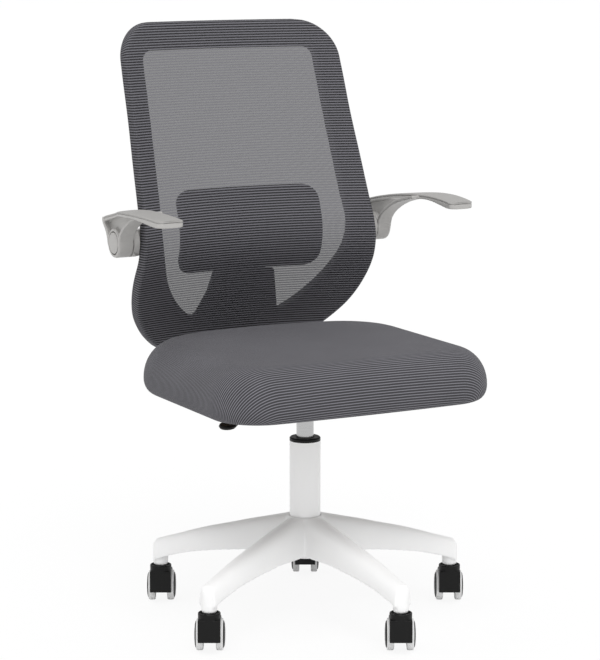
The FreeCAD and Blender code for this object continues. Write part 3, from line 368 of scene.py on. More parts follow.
def offset_line(line, width):
    """Line beside a line of points, on its left."""
    beside = []
    for index, spot in enumerate(line):
        before = Vector(line[max(index - 1, 0)])
        after = Vector(line[min(index + 1, len(line) - 1)])
        run = (after - before).normalized()
        beside.append(Vector(spot) + Vector((-run.y, run.x)) * width)
    return [tuple(point) for point in beside]


def soften(mesh, radius, segments=3, degrees=50.0):
    """Rounds the edges where faces meet sharply."""
    sharp = [edge for edge in mesh.edges if len(edge.link_faces) == 2
             and edge.calc_face_angle() > math.radians(degrees)]
    bmesh.ops.bevel(mesh, geom=sharp, offset=radius, offset_type="OFFSET", segments=segments, profile=0.5,
                    affect="EDGES", material=-1)


def thicken(mesh, way):
    """Gives open faces a thickness, straight along a direction."""
    grown = bmesh.ops.extrude_face_region(mesh, geom=mesh.faces[:], use_keep_orig=True)["geom"]
    far = [item for item in grown if isinstance(item, bmesh.types.BMVert)]
    bmesh.ops.translate(mesh, verts=far, vec=way)
    bmesh.ops.recalc_face_normals(mesh, faces=mesh.faces)


def slice_up(mesh, axis, low, high, step):
    """Cuts a mesh into strips, so that it bends smoothly."""
    normal = Vector((0.0, 0.0, 0.0))
    normal[axis] = 1.0
    for index in range(1, int((high - low) / step)):
        bmesh.ops.bisect_plane(mesh, geom=mesh.verts[:] + mesh.edges[:] + mesh.faces[:], dist=MERGE,
                               plane_co=normal * (low + index * step), plane_no=normal)


def merge_into(mesh, added):
    """Moves a mesh into another."""
    bmesh.ops.recalc_face_normals(added, faces=added.faces)
    data = bpy.data.meshes.new("added")
    added.to_mesh(data)
    added.free()
    mesh.from_mesh(data)
    bpy.data.meshes.remove(data)


def side_block(mesh, points, low, high):
    """Adds a block with an outline seen from the side, in mm, between two sides that may change along y."""
    added = bmesh.new()
    bmesh.ops.contextual_create(added, geom=loop(added, [(0.0, y * MM, z * MM) for y, z in points]))
    thicken(added, (1.0, 0.0, 0.0))
    for vert in added.verts:
        vert.co.x = (high if vert.co.x > 0.5 else low)(vert.co.y)
    merge_into(mesh, added)


def turned_part(points, axis, centre, steps=64):
    """Turned part: a profile of radius and length, in mm, spun about an axis."""
    part = bmesh.new()
    side = Vector((0.0, 0.0, 1.0)) if abs(axis[2]) < 0.5 else Vector((1.0, 0.0, 0.0))
    centre = Vector(centre)
    verts = [part.verts.new(centre + side * (radius * MM) + Vector(axis) * (run * MM))
             for radius, run in points]
    line = [part.edges.new(pair) for pair in zip(verts, verts[1:])]
    bmesh.ops.spin(part, geom=verts + line, cent=centre, axis=axis, angle=2 * math.pi, steps=steps,
                   use_merge=True)
    bmesh.ops.remove_doubles(part, verts=part.verts[:], dist=MERGE)
    bmesh.ops.recalc_face_normals(part, faces=part.faces)
    return part


def fused(mesh, grain, rounds):
    """Joins overlapping blocks into one moulding with soft inner corners."""
    data = bpy.data.meshes.new("blocks")
    bmesh.ops.recalc_face_normals(mesh, faces=mesh.faces)
    mesh.to_mesh(data)
    mesh.free()
    block = bpy.data.objects.new("blocks", data)
    bpy.context.scene.collection.objects.link(block)
    remesh = block.modifiers.new("join", "REMESH")
    remesh.mode = "VOXEL"
    remesh.voxel_size = grain
    ease = block.modifiers.new("ease", "SMOOTH")
    ease.factor = 0.5
    ease.iterations = rounds
    whole = bmesh.new()
    whole.from_object(block, bpy.context.evaluated_depsgraph_get())
    bpy.data.objects.remove(block)
    bpy.data.meshes.remove(data)
    return whole


def solid_copy(node):
    """Copy of a solid's mesh, with its points merged."""
    copy = bmesh.new()
    copy.from_mesh(nodes[node].data)
    bmesh.ops.remove_doubles(copy, verts=copy.verts[:], dist=MERGE)
    return copy


# Back: its pieces are modelled flat, with x across, y the depth behind the frame's front and z up,
# and then bent
PLAN_RADIUS = 0.5
LUMBAR_Y = 0.1905
LUMBAR_Z = 0.605
LUMBAR_RADIUS = 0.108
UPPER_LEAN = math.radians(18.3)
LOWER_LEAN = math.radians(29.0)
FRAME_DEPTH = 0.024
FRAME_LOW, FRAME_TOP, FRAME_CORNER = 0.402, 0.9527, 0.064
# Height and half width of the frame's outline, in mm
FRAME_HALF = ((402, 95), (410, 121), (420, 142), (445, 171.4), (482, 198.2), (530, 212.3), (580, 213.3),
              (650, 208.8), (720, 205.2), (800, 200.6), (860, 198.8), (888.7, 197.6))
FRAME_FOOT_STEP = 4.75 * MM  # Between points along the frame's foot
# Right side of the opening, upwards: x, z and the bend of the arc that follows, and the points on each
OPENING = ((0.0, 0.5435, 0.0), (0.053, 0.5435, 0.0), (0.08, 0.463, 0.19), (0.168, 0.58, 0.2),
           (0.171, 0.66, 0.0), (0.164, 0.8, 0.0), (0.161, 0.89, 0.018), (0.143, 0.908, 0.0),
           (0.1, 0.908, 0.0), (0.0, 0.908, 0.0))
OPENING_POINTS = (4, 16, 24, 12, 10, 14, 6, 4, 8)
# Post behind the lumbar pad: its reach from the middle line, the share by which its rear is slimmer, and
# the heights and depths between which that sets in
POST_HALF, POST_TAPER = 0.085, 0.17
POST_FOOT, POST_HEAD, POST_REAR = (0.45, 0.475), (0.56, 0.55), (0.006, 0.02)
BACK_MIDDLE = Vector((0.0, 0.0, 0.68))
# Reach of the flat back, and the width of the strips that its layers are cut into
BACK_HALF, BACK_LOW, BACK_HIGH = 0.2, 0.4, 0.96
BEND_STRIP = 0.012


def back_spot(x, depth, z):
    """Where a point of the flat back goes: a lumbar arc between two leaning runs, turned about z."""
    bend = LUMBAR_RADIUS - depth
    rise = z - LUMBAR_Z
    lean = UPPER_LEAN if rise > 0 else LOWER_LEAN
    end = bend * math.sin(lean)
    if abs(rise) <= end:
        reach = math.sqrt(bend * bend - rise * rise)
    else:
        reach = bend * math.cos(lean) - (abs(rise) - end) * math.tan(lean)
    radius = PLAN_RADIUS + LUMBAR_RADIUS - reach
    return Vector((x, LUMBAR_Y - PLAN_RADIUS + math.sqrt(radius * radius - x * x), z))


def bend_back(mesh):
    """Bends a flat piece of the back to its place."""
    for vert in mesh.verts:
        vert.co = back_spot(*vert.co)


def half_width(z, inset):
    """Half width of the frame's outline at a height, inside it by an inset."""
    above = z - (FRAME_TOP - FRAME_CORNER)
    side = smooth_line(FRAME_HALF, z / MM) * MM - inset
    if above <= 0:
        return side
    reach = FRAME_CORNER - inset
    return side - reach + math.sqrt(max(reach * reach - above * above, 0.0))


MESH_INSET = 5 * MM
MESH_LIFT = 0.9  # Of the cover in front of the frame, in mm
MESH_COLUMNS, MESH_ROWS = 64, 150
ROW_CROWDING = 1.25  # Above 1, the rows lie closer towards the top
# Steps of the cover's edge: how far out of the inset outline it goes, and how deep, in mm
MESH_EDGE = ((2.6, 0.2), (4.6, 2.0), (5.5, 5.0), (5.6, 12.0), (5.6, 19.0), (4.8, 22.6), (2.6, 24.4),
             (-3.0, 24.8))


def mesh_cover():
    """Ribbed cover stretched over the frame's front and drawn round its edge."""
    flat = bmesh.new()
    bmesh.ops.create_grid(flat, x_segments=MESH_COLUMNS, y_segments=MESH_ROWS, size=1.0)
    low, high = FRAME_LOW + MESH_INSET, FRAME_TOP - MESH_INSET
    across = flat.verts.layers.float.new("across")
    along = flat.verts.layers.float.new("along")
    for vert in flat.verts:
        share = (vert.co.y + 1) / 2
        z = low + (high - low) * (1 - (1 - share) ** ROW_CROWDING)
        vert.co = (vert.co.x * half_width(z, MESH_INSET), -MESH_LIFT * MM, z)
        vert[across], vert[along] = vert.co.x, z
    rim = [edge for edge in flat.edges if edge.is_boundary]
    outward = rim_directions(rim)
    done = (0.0, 0.0)
    for out, depth in MESH_EDGE:
        fresh = bmesh.ops.extrude_edge_only(flat, edges=rim)["geom"]
        run = math.hypot(out - done[0], depth - done[1]) * MM
        moved = {}
        for vert in (item for item in fresh if isinstance(item, bmesh.types.BMVert)):
            beside = (edge.other_vert(vert) for edge in vert.link_edges)
            source = next(other for other in beside if other in outward)
            way = outward[source]
            moved[vert] = way
            vert.co = source.co + way * ((out - done[0]) * MM)
            vert.co.y = (depth - MESH_LIFT) * MM
            vert[across] = source[across] + way.x * run
            vert[along] = source[along] + way.z * run
        rim = [item for item in fresh if isinstance(item, bmesh.types.BMEdge)
               and all(vert in moved for vert in item.verts)]
        outward = moved
        done = (out, depth)
    bend_back(flat)
    cover = piece("mesh_cover", flat, "seat", "mesh", "back_mesh")


def rim_directions(rim):
    """Outward direction at each vertex of a flat rim."""
    directions = {}
    for edge in rim:
        run = edge.verts[1].co - edge.verts[0].co
        middle = (edge.verts[0].co + edge.verts[1].co) / 2
        way = Vector((run.z, 0.0, -run.x)).normalized()
        if way.dot(middle - BACK_MIDDLE) < 0:
            way.negate()
        for vert in edge.verts:
            directions[vert] = directions.get(vert, Vector()) + way
    return {vert: way.normalized() for vert, way in directions.items()}


def flat_points(points, depth=0.0):
    """Points of an outline on the flat back."""
    return [(x, depth, z) for x, z in points]


def back_frame():
    """Moulded frame: a rim round the opening, and the post behind the lumbar pad, slimmer at its rear."""
    corner = FRAME_TOP - FRAME_CORNER
    right = [Vector((FRAME_FOOT_STEP * step, FRAME_LOW)) for step in range(20)]
    runs = ((FRAME_LOW, 0.482, 10), (0.482, 0.65, 20), (0.65, 0.8, 12), (0.8, corner, 10))
    for low, high, count in runs:
        heights = [low + (high - low) * step / count for step in range(count)]
        right += [Vector((half_width(z, 0.0), z)) for z in heights]
    flat_half = half_width(corner, 0.0) - FRAME_CORNER
    right += arc_points((flat_half + FRAME_CORNER, corner), (flat_half, FRAME_TOP), FRAME_CORNER, 14)
    right += [Vector((flat_half * (1 - step / 12), FRAME_TOP)) for step in range(13)]
    rim = right + [Vector((-x, z)) for x, z in reversed(right[1:-1])]
    hole = outline(OPENING, OPENING_POINTS)
    flat = bmesh.new()
    edges = loop(flat, flat_points(rim)) + loop(flat, flat_points(hole))
    made = bmesh.ops.bridge_loops(flat, edges=edges)
    between = [edge for edge in made["edges"] if edge not in edges]
    bmesh.ops.subdivide_edges(flat, edges=between, cuts=4, use_grid_fill=True)
    thicken(flat, (0.0, FRAME_DEPTH, 0.0))
    soften(flat, 5 * MM, 4, 60.0)
    for vert in flat.verts:
        if abs(vert.co.x) < POST_HALF:
            slim = eased(*POST_FOOT, vert.co.z) * eased(*POST_HEAD, vert.co.z)
            vert.co.x *= 1 - POST_TAPER * slim * eased(*POST_REAR, vert.co.y)
    bend_back(flat)
    piece("back_rim", flat, "seat", "frame_plastic", "back_frame")


def slab(name, points, front, rear, radius, slot, node):
    """Layer of the back with rounded edges, between two depths."""
    flat = bmesh.new()
    bmesh.ops.contextual_create(flat, geom=loop(flat, flat_points(points, front)))
    thicken(flat, (0.0, rear - front, 0.0))
    soften(flat, radius, 4, 60.0)
    slice_up(flat, 0, -BACK_HALF, BACK_HALF, BEND_STRIP)
    slice_up(flat, 2, BACK_LOW, BACK_HIGH, BEND_STRIP)
    bend_back(flat)
    return piece(name, flat, "seat", slot, node)


def round_box(half, low, high, corner):
    """Outline of a rounded rectangle about the middle line."""
    return outline([(0.0, low, 0.0), (half - corner, low, corner), (half, low + corner, 0.0),
                    (half, high - corner, corner), (half - corner, high, 0.0), (0.0, high, 0.0)],
                   (12, 8, 8, 8, 12))


mesh_cover()
back_frame()
pad = slab("lumbar_cushion", round_box(0.13, 0.5445, 0.682, 0.025), 3 * MM, 20 * MM, 7 * MM,
           "pad_fabric", "lumbar_pad")
slab("lumbar_backing", round_box(0.127, 0.552, 0.678, 0.02), 20.3 * MM, 23.7 * MM, 1.2 * MM,
     "frame_plastic", "lumbar_plate")
bar = outline(((0.0, 0.482, 0.0), (0.05, 0.482, 0.0), (0.042, 0.655, 0.0), (0.0, 0.655, 0.0)), (6, 10, 6))
slab("lumbar_bar", bar, 24.3 * MM, 29.3 * MM, 1.5 * MM, "frame_plastic", "lumbar_carrier")

# Seat cushion: rings of a square net, from the middle of the top out to the edge and down to the hem
SEAT_HALF = 0.2405
SEAT_FRONT = -0.2287
SEAT_REAR = 0.214
# Radius of the corners in plan, and half the angle over which the front or the rear bows
FRONT_CORNER, FRONT_BOW = 0.084, math.radians(2.7)
REAR_CORNER, REAR_BOW = 0.133, math.radians(13.9)
# Heights of the rolled edge, the widest line and the hem, and the insets of the roll and the hem, in mm
SEAT_TOP, SEAT_WAIST, SEAT_HEM = 455.9, 395.4, 373.9
ROLL, ROLL_POWER, TUCK = 58.3, 2.1, 14.4
SEAT_TOP_RINGS = 30
# Crown of the seat's top: its height, and the reach sideways and lengthways over which it falls
CROWN_Z, CROWN_WIDE, CROWN_LONG, CROWN_FALL = 0.4585, 0.182, 0.163, 0.8
BOARD_INSET, BOARD_LOW, BOARD_THICK = 20.0, 0.375, 0.012
SQUARE_RIM = 1 - 1e-9


def seat_side():
    """Inset and height of the cushion's side: rolled over, drawn in to the hem and up round the board."""
    side = []
    for step in range(15):
        angle = math.pi / 2 * (1 - step / 14)
        side.append((ROLL * (1 - math.cos(angle) ** (2 / ROLL_POWER)),
                     SEAT_WAIST + (SEAT_TOP - SEAT_WAIST) * math.sin(angle) ** (2 / ROLL_POWER)))
    for step in range(1, 8):
        angle = math.pi / 2 * step / 8
        side.append((TUCK * (1 - math.cos(angle)),
                     SEAT_WAIST - (SEAT_WAIST - SEAT_HEM) * math.sin(angle)))
    side += [(TUCK, SEAT_HEM), (BOARD_INSET - 2.2, SEAT_HEM + 0.3), (BOARD_INSET - 0.8, SEAT_HEM + 2.0),
             (BOARD_INSET - 0.4, 387.2)]
    return [(inset * MM, z * MM) for inset, z in side]


def seat_edge():
    """Points round the seat's plan outline with their outward directions, from the middle of the front."""
    points = []

    def turn(centre, radius, first, last, steps):
        for step in range(steps):
            angle = first + (last - first) * step / steps
            way = Vector((math.cos(angle), math.sin(angle), 0.0))
            points.append((Vector(centre) + way * radius, way))

    quarter = math.pi / 2
    front_reach = SEAT_HALF - FRONT_CORNER * (1 - math.sin(FRONT_BOW))
    front_bend = front_reach / math.sin(FRONT_BOW)
    front_y = SEAT_FRONT + front_bend * (1 - math.cos(FRONT_BOW)) + FRONT_CORNER * math.cos(FRONT_BOW)
    rear_reach = SEAT_HALF - REAR_CORNER * (1 - math.sin(REAR_BOW))
    rear_bend = rear_reach / math.sin(REAR_BOW)
    rear_y = SEAT_REAR - rear_bend * (1 - math.cos(REAR_BOW)) - REAR_CORNER * math.cos(REAR_BOW)
    turn((0.0, SEAT_FRONT + front_bend, 0.0), front_bend, -quarter, -quarter + FRONT_BOW, 30)
    turn((SEAT_HALF - FRONT_CORNER, front_y, 0.0), FRONT_CORNER, -quarter + FRONT_BOW, 0.0, 40)
    run = rear_y - front_y
    points += [(Vector((SEAT_HALF, front_y + run * step / 40, 0.0)), Vector((1.0, 0.0, 0.0)))
               for step in range(40)]
    turn((SEAT_HALF - REAR_CORNER, rear_y, 0.0), REAR_CORNER, 0.0, quarter - REAR_BOW, 40)
    turn((0.0, SEAT_REAR - rear_bend, 0.0), rear_bend, quarter - REAR_BOW, quarter, 30)
    left = [(Vector((-spot.x, spot.y, 0.0)), Vector((-way.x, way.y, 0.0)))
            for spot, way in reversed(points[1:])]
    middle = (Vector((0.0, SEAT_REAR, 0.0)), Vector((0.0, 1.0, 0.0)))
    return points + [middle] + left


class Edge:
    """The seat's outline, read by the corners of a square."""

    def __init__(self):
        self.points = seat_edge()
        spots = [spot for spot, way in self.points]
        self.runs = [0.0]
        for here, after in zip(spots, spots[1:] + spots[:1]):
            self.runs.append(self.runs[-1] + (after - here).length)
        self.marks = []
        for sx, sy in ((1, -1), (1, 1), (-1, 1), (-1, -1)):
            corner = Vector((sx, sy, 0.0))
            best = max(range(len(spots)), key=lambda i: self.points[i][1].dot(corner))
            self.marks.append(self.runs[best])

    def at(self, run):
        """Point and outward direction at a length along the outline."""
        run %= self.runs[-1]
        index = next(i for i in range(len(self.points)) if self.runs[i + 1] >= run)
        share = (run - self.runs[index]) / (self.runs[index + 1] - self.runs[index])
        (spot, way), (after, turn) = self.points[index], self.points[(index + 1) % len(self.points)]
        return spot.lerp(after, share), way.lerp(turn, share).normalized()

    def facing(self, a, b):
        """Point and direction for a point of the unit square's rim."""
        size = max(abs(a), abs(b))
        a, b = a / size, b / size
        total = self.runs[-1]
        front_right, rear_right, rear_left, front_left = self.marks
        if b <= -SQUARE_RIM:
            return self.at(front_left - total + (front_right - front_left + total) * (a + 1) / 2)
        if a >= SQUARE_RIM:
            return self.at(front_right + (rear_right - front_right) * (b + 1) / 2)
        if b >= SQUARE_RIM:
            return self.at(rear_right + (rear_left - rear_right) * (1 - a) / 2)
        return self.at(rear_left + (front_left - rear_left) * (1 - b) / 2)


def seat_cushion():
    """Foam seat in one stretched cover, crowned on top and drawn in to the hem."""
    side = seat_side()
    rings = SEAT_TOP_RINGS + len(side) - 1
    net = bmesh.new()
    bmesh.ops.create_grid(net, x_segments=2 * rings, y_segments=2 * rings, size=1.0)
    across = net.verts.layers.float.new("across")
    along = net.verts.layers.float.new("along")
    edge = Edge()
    drops = [0.0]
    for here, after in zip(side, side[1:]):
        drops.append(drops[-1] + math.hypot(after[0] - here[0], after[1] - here[1]))
    top = side[0][1]
    middle = Vector((0.0, (SEAT_FRONT + SEAT_REAR) / 2, 0.0))
    for vert in net.verts:
        a, b = vert.co.x, vert.co.y
        ring = round(max(abs(a), abs(b)) * rings)
        if ring == 0:
            vert.co = middle + Vector((0.0, 0.0, CROWN_Z))
            vert[across], vert[along] = vert.co.x, vert.co.y
            continue
        spot, way = edge.facing(a, b)
        rim = spot - way * side[0][0]
        if ring <= SEAT_TOP_RINGS:
            share = ring / SEAT_TOP_RINGS
            place = middle.lerp(rim, share)
            away = (place.x / CROWN_WIDE) ** 2 + ((place.y - middle.y) / CROWN_LONG) ** 2
            dome = CROWN_Z - (CROWN_Z - top) * away * CROWN_FALL
            vert.co = (place.x, place.y, dome + (top - dome) * share ** 5)
            vert[across], vert[along] = place.x, place.y
            continue
        inset, z = side[ring - SEAT_TOP_RINGS]
        drop = drops[ring - SEAT_TOP_RINGS]
        place = spot - way * inset
        vert.co = (place.x, place.y, z)
        vert[across], vert[along] = rim.x + way.x * drop, rim.y + way.y * drop
    hem = [item for item in net.edges if item.is_boundary]
    under = bmesh.ops.contextual_create(net, geom=hem)
    bmesh.ops.inset_region(net, faces=under["faces"], thickness=4 * MM)
    return piece("seat_cover", net, "seat", "seat_fabric", "seat_cushion")


def seat_panel():
    """Board under the cushion, in the seat's outline."""
    board = bmesh.new()
    low = Vector((0.0, 0.0, BOARD_LOW))
    ring = [spot - way * (BOARD_INSET * MM) + low for spot, way in seat_edge()]
    bmesh.ops.contextual_create(board, geom=loop(board, ring))
    thicken(board, (0.0, 0.0, BOARD_THICK))
    soften(board, 1.0 * MM, 2)
    piece("seat_panel", board, "seat", "plywood", "seat_board")


# Middle line of the strap seen from the side, in mm: its flat run, the bend's centre and radius, its rise
STRAP_FLAT = ((112.0, 371.0), (200.0, 371.0), (285.0, 371.0))
STRAP_BEND_Y, STRAP_BEND_Z, STRAP_BEND = 299.7, 393, 22
STRAP_RISE = ((305.6, 428.0), (292.2, 452.0), (278.9, 476.0))
STRAP_TURN, STRAP_STEPS = 119, 12  # Degrees of the bend, and its steps
STRAP_THICK, STRAP_HALF = 8.0, 0.035  # In mm, and in metres


def back_strap():
    """Steel strap from under the seat, bent up behind the frame."""
    line = list(STRAP_FLAT)
    for step in range(STRAP_STEPS + 1):
        angle = math.radians(-90 + STRAP_TURN * step / STRAP_STEPS)
        line.append((STRAP_BEND_Y + STRAP_BEND * math.cos(angle),
                     STRAP_BEND_Z + STRAP_BEND * math.sin(angle)))
    line += STRAP_RISE
    strap = bmesh.new()
    side_block(strap, offset_line(line, STRAP_THICK / 2) + offset_line(line, -STRAP_THICK / 2)[::-1],
               lambda y: -STRAP_HALF, lambda y: STRAP_HALF)
    soften(strap, 1.2 * MM, 3)
    piece("back_strap", strap, "seat", "black_steel", "back_bracket")


cushion = seat_cushion()
seat_panel()
back_strap()

# Arms: modelled for the left side, with x outwards, and mirrored for the right
HUB_INNER, HUB_OUTER = 0.2254, 0.2514
HUB_CENTRE = (HUB_INNER, 0.185, 0.607)
ARM_TIP, ARM_MIDDLE, ARM_REAR = -0.055, 0.1, 0.230
ARM_TIP_CORNER, ARM_REAR_CORNER = 0.009, 0.0095
ARM_CROWN_Y, ARM_CROWN_Z, ARM_ARCH = 0.0226, 0.6742, 1.474
# How far the arm's top falls outwards, where along the arm it does, how far it falls at both edges, and
# how hollow the underside is
ARM_FALL, FALL_START, FALL_END = 1.6 * MM, (0.06, 0.14), (0.23, 0.17)
ARM_EDGE, ARM_HOLLOW = 0.9 * MM, 0.6 * MM
PAD_DEPTH = 3.0 * MM
SEAM = 0.2 * MM
# Inner and outer edge of the arm's top along its length, in mm
ARM_INNER = ((-55, 236), (-20, 239.2), (20, 240.2), (60, 237.6), (100, 234), (140, 230), (180, 226.4),
             (230, 225.4))
ARM_OUTER = ((-55, 280), (-20, 284.5), (20, 288.8), (60, 289), (100, 281), (140, 265), (180, 254.4),
             (230, 251.4))
# Height of the arm's underside along its length, in mm
ARM_UNDERSIDE = ((-55, 658.6), (-40, 659.0), (-25, 660.4), (-7, 662.6), (10, 664.6), (25, 665.6),
                 (40, 665.6), (58, 664.6), (75, 663.6), (100, 661.0), (150, 653.4), (200, 643.6),
                 (230, 635.6))
# Front and rear faces of the arm's leg and the web between them, seen from the side, in mm
ARM_FRONT = ((49, 666.6), (61, 664.4), (73, 661.6), (85, 659.0), (97, 655.8), (112, 650.5), (126, 644.4),
             (139, 637.6), (150, 629.8), (157.5, 621.5), (161, 612), (163, 603))
ARM_BACK = ((229, 645), (230, 640), (227.5, 635), (221.5, 629), (215, 621.5), (211, 613), (208, 602))
ARM_WEB = ((70, 665), (112, 653), (139, 640), (157, 624), (163, 606), (185, 607), (207, 606), (213, 621),
           (228, 637), (200, 646), (150, 656))
ARM_WALL = 5.2
# Half the web's thickness at its front and what it loses, in mm, and where and over what length it does
WEB_HALF, WEB_LOSS, WEB_START, WEB_RUN = 9.5, 6.5, 0.09, 0.12
# Turned profiles about the pivot: radius, and length out from the hub's inner face, in mm
HUB_PROFILE = ((0, 0), (22.5, 0), (23.5, 0.4), (24, 1.5), (24, 22.0), (23.5, 24.2), (22.2, 25.5), (20.5, 26),
               (19.4, 26), (19.0, 25.4), (19.0, 20.0), (0, 20.0))
CAP_PROFILE = ((0, 20.4), (17.0, 20.4), (17.2, 25.2), (16.8, 26.0), (15.8, 26.3), (10, 26.8), (0, 27.0))


def arm_sides(y):
    """Inner and outer edge of the arm's top: a broad leaf in front that narrows to the hub."""
    corner, end = (ARM_TIP_CORNER, y - ARM_TIP) if y < ARM_MIDDLE else (ARM_REAR_CORNER, ARM_REAR - y)
    turned = corner - math.sqrt(max(corner ** 2 - max(corner - end, 0.0) ** 2, 0.0))
    return (smooth_line(ARM_INNER, y / MM) * MM + turned,
            smooth_line(ARM_OUTER, y / MM) * MM - turned)


def arm_top(share, y):
    """Height of the arm's top, arched along its length and a little across it."""
    arch = ARM_CROWN_Z - (y - ARM_CROWN_Y) ** 2 / ARM_ARCH
    fall = ARM_FALL * eased(*FALL_START, y) * eased(*FALL_END, y) * share ** 2
    return arch - fall - ARM_EDGE * (2 * share - 1) ** 4


def arm_slab(upper, lower):
    """Plate in the arm's plan outline between two surfaces."""
    plate = bmesh.new()
    bmesh.ops.create_grid(plate, x_segments=16, y_segments=90, size=1.0)
    thicken(plate, (0.0, 0.0, -1.0))
    for vert in plate.verts:
        share = (vert.co.x + 1) / 2
        run = (vert.co.y + 1) / 2
        y = ARM_TIP + (ARM_REAR - ARM_TIP) * (0.5 - 0.5 * math.cos(math.pi * run))
        inner, outer = arm_sides(y)
        height = upper(share, y) if vert.co.z > -0.5 else lower(share, y)
        vert.co = (inner + (outer - inner) * share, y, height)
    return plate


def arm_underside(share, y):
    """Height of the arm's underside, a little hollow across it."""
    return smooth_line(ARM_UNDERSIDE, y / MM) * MM + ARM_HOLLOW * (2 * share - 1) ** 2


def web_half(y):
    """Half the thickness of the leg's web, which thins out to the rear."""
    return (WEB_HALF - WEB_LOSS * (y - WEB_START) / WEB_RUN) * MM


def arm_moulding():
    """Shell under the arm's pad, its hollow leg and the hub."""
    arm = arm_slab(lambda share, y: arm_top(share, y) - PAD_DEPTH - SEAM, arm_underside)
    for face, wall in ((ARM_FRONT, ARM_WALL), (ARM_BACK, -ARM_WALL)):
        side_block(arm, list(face) + offset_line(face, wall)[::-1], lambda y: HUB_INNER, lambda y: HUB_OUTER)
    middle = (HUB_INNER + HUB_OUTER) / 2
    side_block(arm, ARM_WEB, lambda y: middle - web_half(y), lambda y: middle + web_half(y))
    merge_into(arm, turned_part(HUB_PROFILE, (1, 0, 0), HUB_CENTRE))
    return fused(arm, 1.0 * MM, 4)


def arm_skin():
    """Soft pad on the arm's top, with a fine seam all round it."""
    skin = arm_slab(arm_top, lambda share, y: arm_top(share, y) - PAD_DEPTH)
    soften(skin, 1.1 * MM, 4)
    return skin


def hub_cap():
    """Cap over the pivot bolt, a little domed, in the hub's ring."""
    return turned_part(CAP_PROFILE, (1, 0, 0), HUB_CENTRE, 72)


for side, name in ((1, "left"), (-1, "right")):
    for label, make, slot, node in (("arm_moulding", arm_moulding, "arm_plastic", "arm"),
                                    ("arm_skin", arm_skin, "arm_pad", "arm_pad"),
                                    ("hub_cap", hub_cap, "arm_plastic", "arm_cap")):
        made = make()
        bmesh.ops.scale(made, vec=(side, 1.0, 1.0), verts=made.verts)
        piece("%s_%s" % (label, name), made, name + "_arm", slot, "%s_%s" % (node, name))


# Star base: hollow legs with a rib along each, blended into the hub and the stem sockets
LEGS, LEG_TURN = 5, math.radians(72.0)
HEADING = math.radians(62.0)  # Of the first leg, and of all the casters at rest
STEM_RADIUS = 0.252
# Height of a leg's top and its lower edge along its length, in mm
LEG_TOP = ((20, 169.5), (29, 167), (60, 159.6), (95, 151.5), (130, 142.4), (165, 133.8), (200, 123.4),
           (219, 117), (237, 111.6), (262, 104))
LEG_UNDER = ((20, 109), (92, 108), (125, 105), (160, 100.6), (196, 94.4), (230, 85.2), (262, 74))
# Radii where a leg starts and ends, and its half widths there, in mm
LEG_START, LEG_END, LEG_WIDE, LEG_SLIM = 27.0, 258.0, 22.5, 12.0
LEG_ROUND = 0.72  # Power of the leg's section: 1 is an ellipse, and less is squarer
# Thickness of the shell and the rib, and the rib's gaps below the leg's top and above its edge, in mm
LEG_SHELL, LEG_RIB, RIB_BELOW, RIB_ABOVE = 3.8, 3.2, 2, 4
# Turned profiles about the column and a stem: radius and height, in mm
HUB_RING = ((25.4, 170.5), (26.2, 171.4), (28.0, 170.2), (31.0, 166.0), (34.0, 158.0), (36.0, 146.0),
            (37.5, 130.0), (38.5, 112.0), (38.5, 106.0), (37.0, 104.5), (33.0, 104.5), (31.6, 107.0),
            (25.4, 114.0), (25.4, 170.5))
SOCKET = ((0, 94.0), (5.9, 94.0), (5.9, 66.0), (11.2, 66.0), (12.2, 67.0), (12.6, 70.0), (12.6, 97.0),
          (11.8, 101.6), (9.0, 104.8), (0, 106.2))


def star_leg(angle):
    """One hollow leg in an arched section, with the rib inside it and its socket."""
    leg = bmesh.new()
    bmesh.ops.create_grid(leg, x_segments=28, y_segments=60, size=1.0)
    for vert in leg.verts:
        run = (vert.co.y + 1) / 2
        radius = LEG_START + (LEG_END - LEG_START) * run
        half = LEG_WIDE + (LEG_SLIM - LEG_WIDE) * run
        low, high = smooth_line(LEG_UNDER, radius), smooth_line(LEG_TOP, radius)
        turn = math.pi / 2 * (1 - vert.co.x)
        across, rise = math.cos(turn), math.sin(turn)
        width = math.copysign(abs(across) ** LEG_ROUND, across) * half
        vert.co = Vector((radius, width, low + (high - low) * max(rise, 0.0) ** LEG_ROUND)) * MM
    bmesh.ops.recalc_face_normals(leg, faces=leg.faces)
    bmesh.ops.solidify(leg, geom=leg.faces[:], thickness=LEG_SHELL * MM)
    rib = bmesh.new()
    bmesh.ops.create_grid(rib, x_segments=1, y_segments=40, size=1.0)
    for vert in rib.verts:
        radius = LEG_START + (LEG_END - LEG_START) * (vert.co.y + 1) / 2
        low, high = smooth_line(LEG_UNDER, radius), smooth_line(LEG_TOP, radius)
        vert.co = Vector((radius, -LEG_RIB / 2, high - RIB_BELOW if vert.co.x > 0 else low + RIB_ABOVE)) * MM
    thicken(rib, (0.0, LEG_RIB * MM, 0.0))
    merge_into(leg, rib)
    merge_into(leg, turned_part(SOCKET, (0, 0, 1), (STEM_RADIUS, 0.0, 0.0), 48))
    bmesh.ops.rotate(leg, cent=(0, 0, 0), matrix=Matrix.Rotation(angle, 3, "Z"), verts=leg.verts)
    return leg


def star_base():
    """Five legs round the hub, in one moulding."""
    star = turned_part(HUB_RING, (0, 0, 1), (0.0, 0.0, 0.0), 96)
    for number in range(LEGS):
        merge_into(star, star_leg(HEADING + number * LEG_TURN))
    piece("star_legs", fused(star, 1.7 * MM, 12), "base", "base_plastic", "star_base")


SOCKET_END = 0.339  # Height where the mechanism's socket ends
# Height of the paddle's middle in its solid and as shown, and the share of its thickness that is kept
GRIP_MIDDLE, GRIP_RAISED, GRIP_SLIM = 0.355, 0.357, 0.8


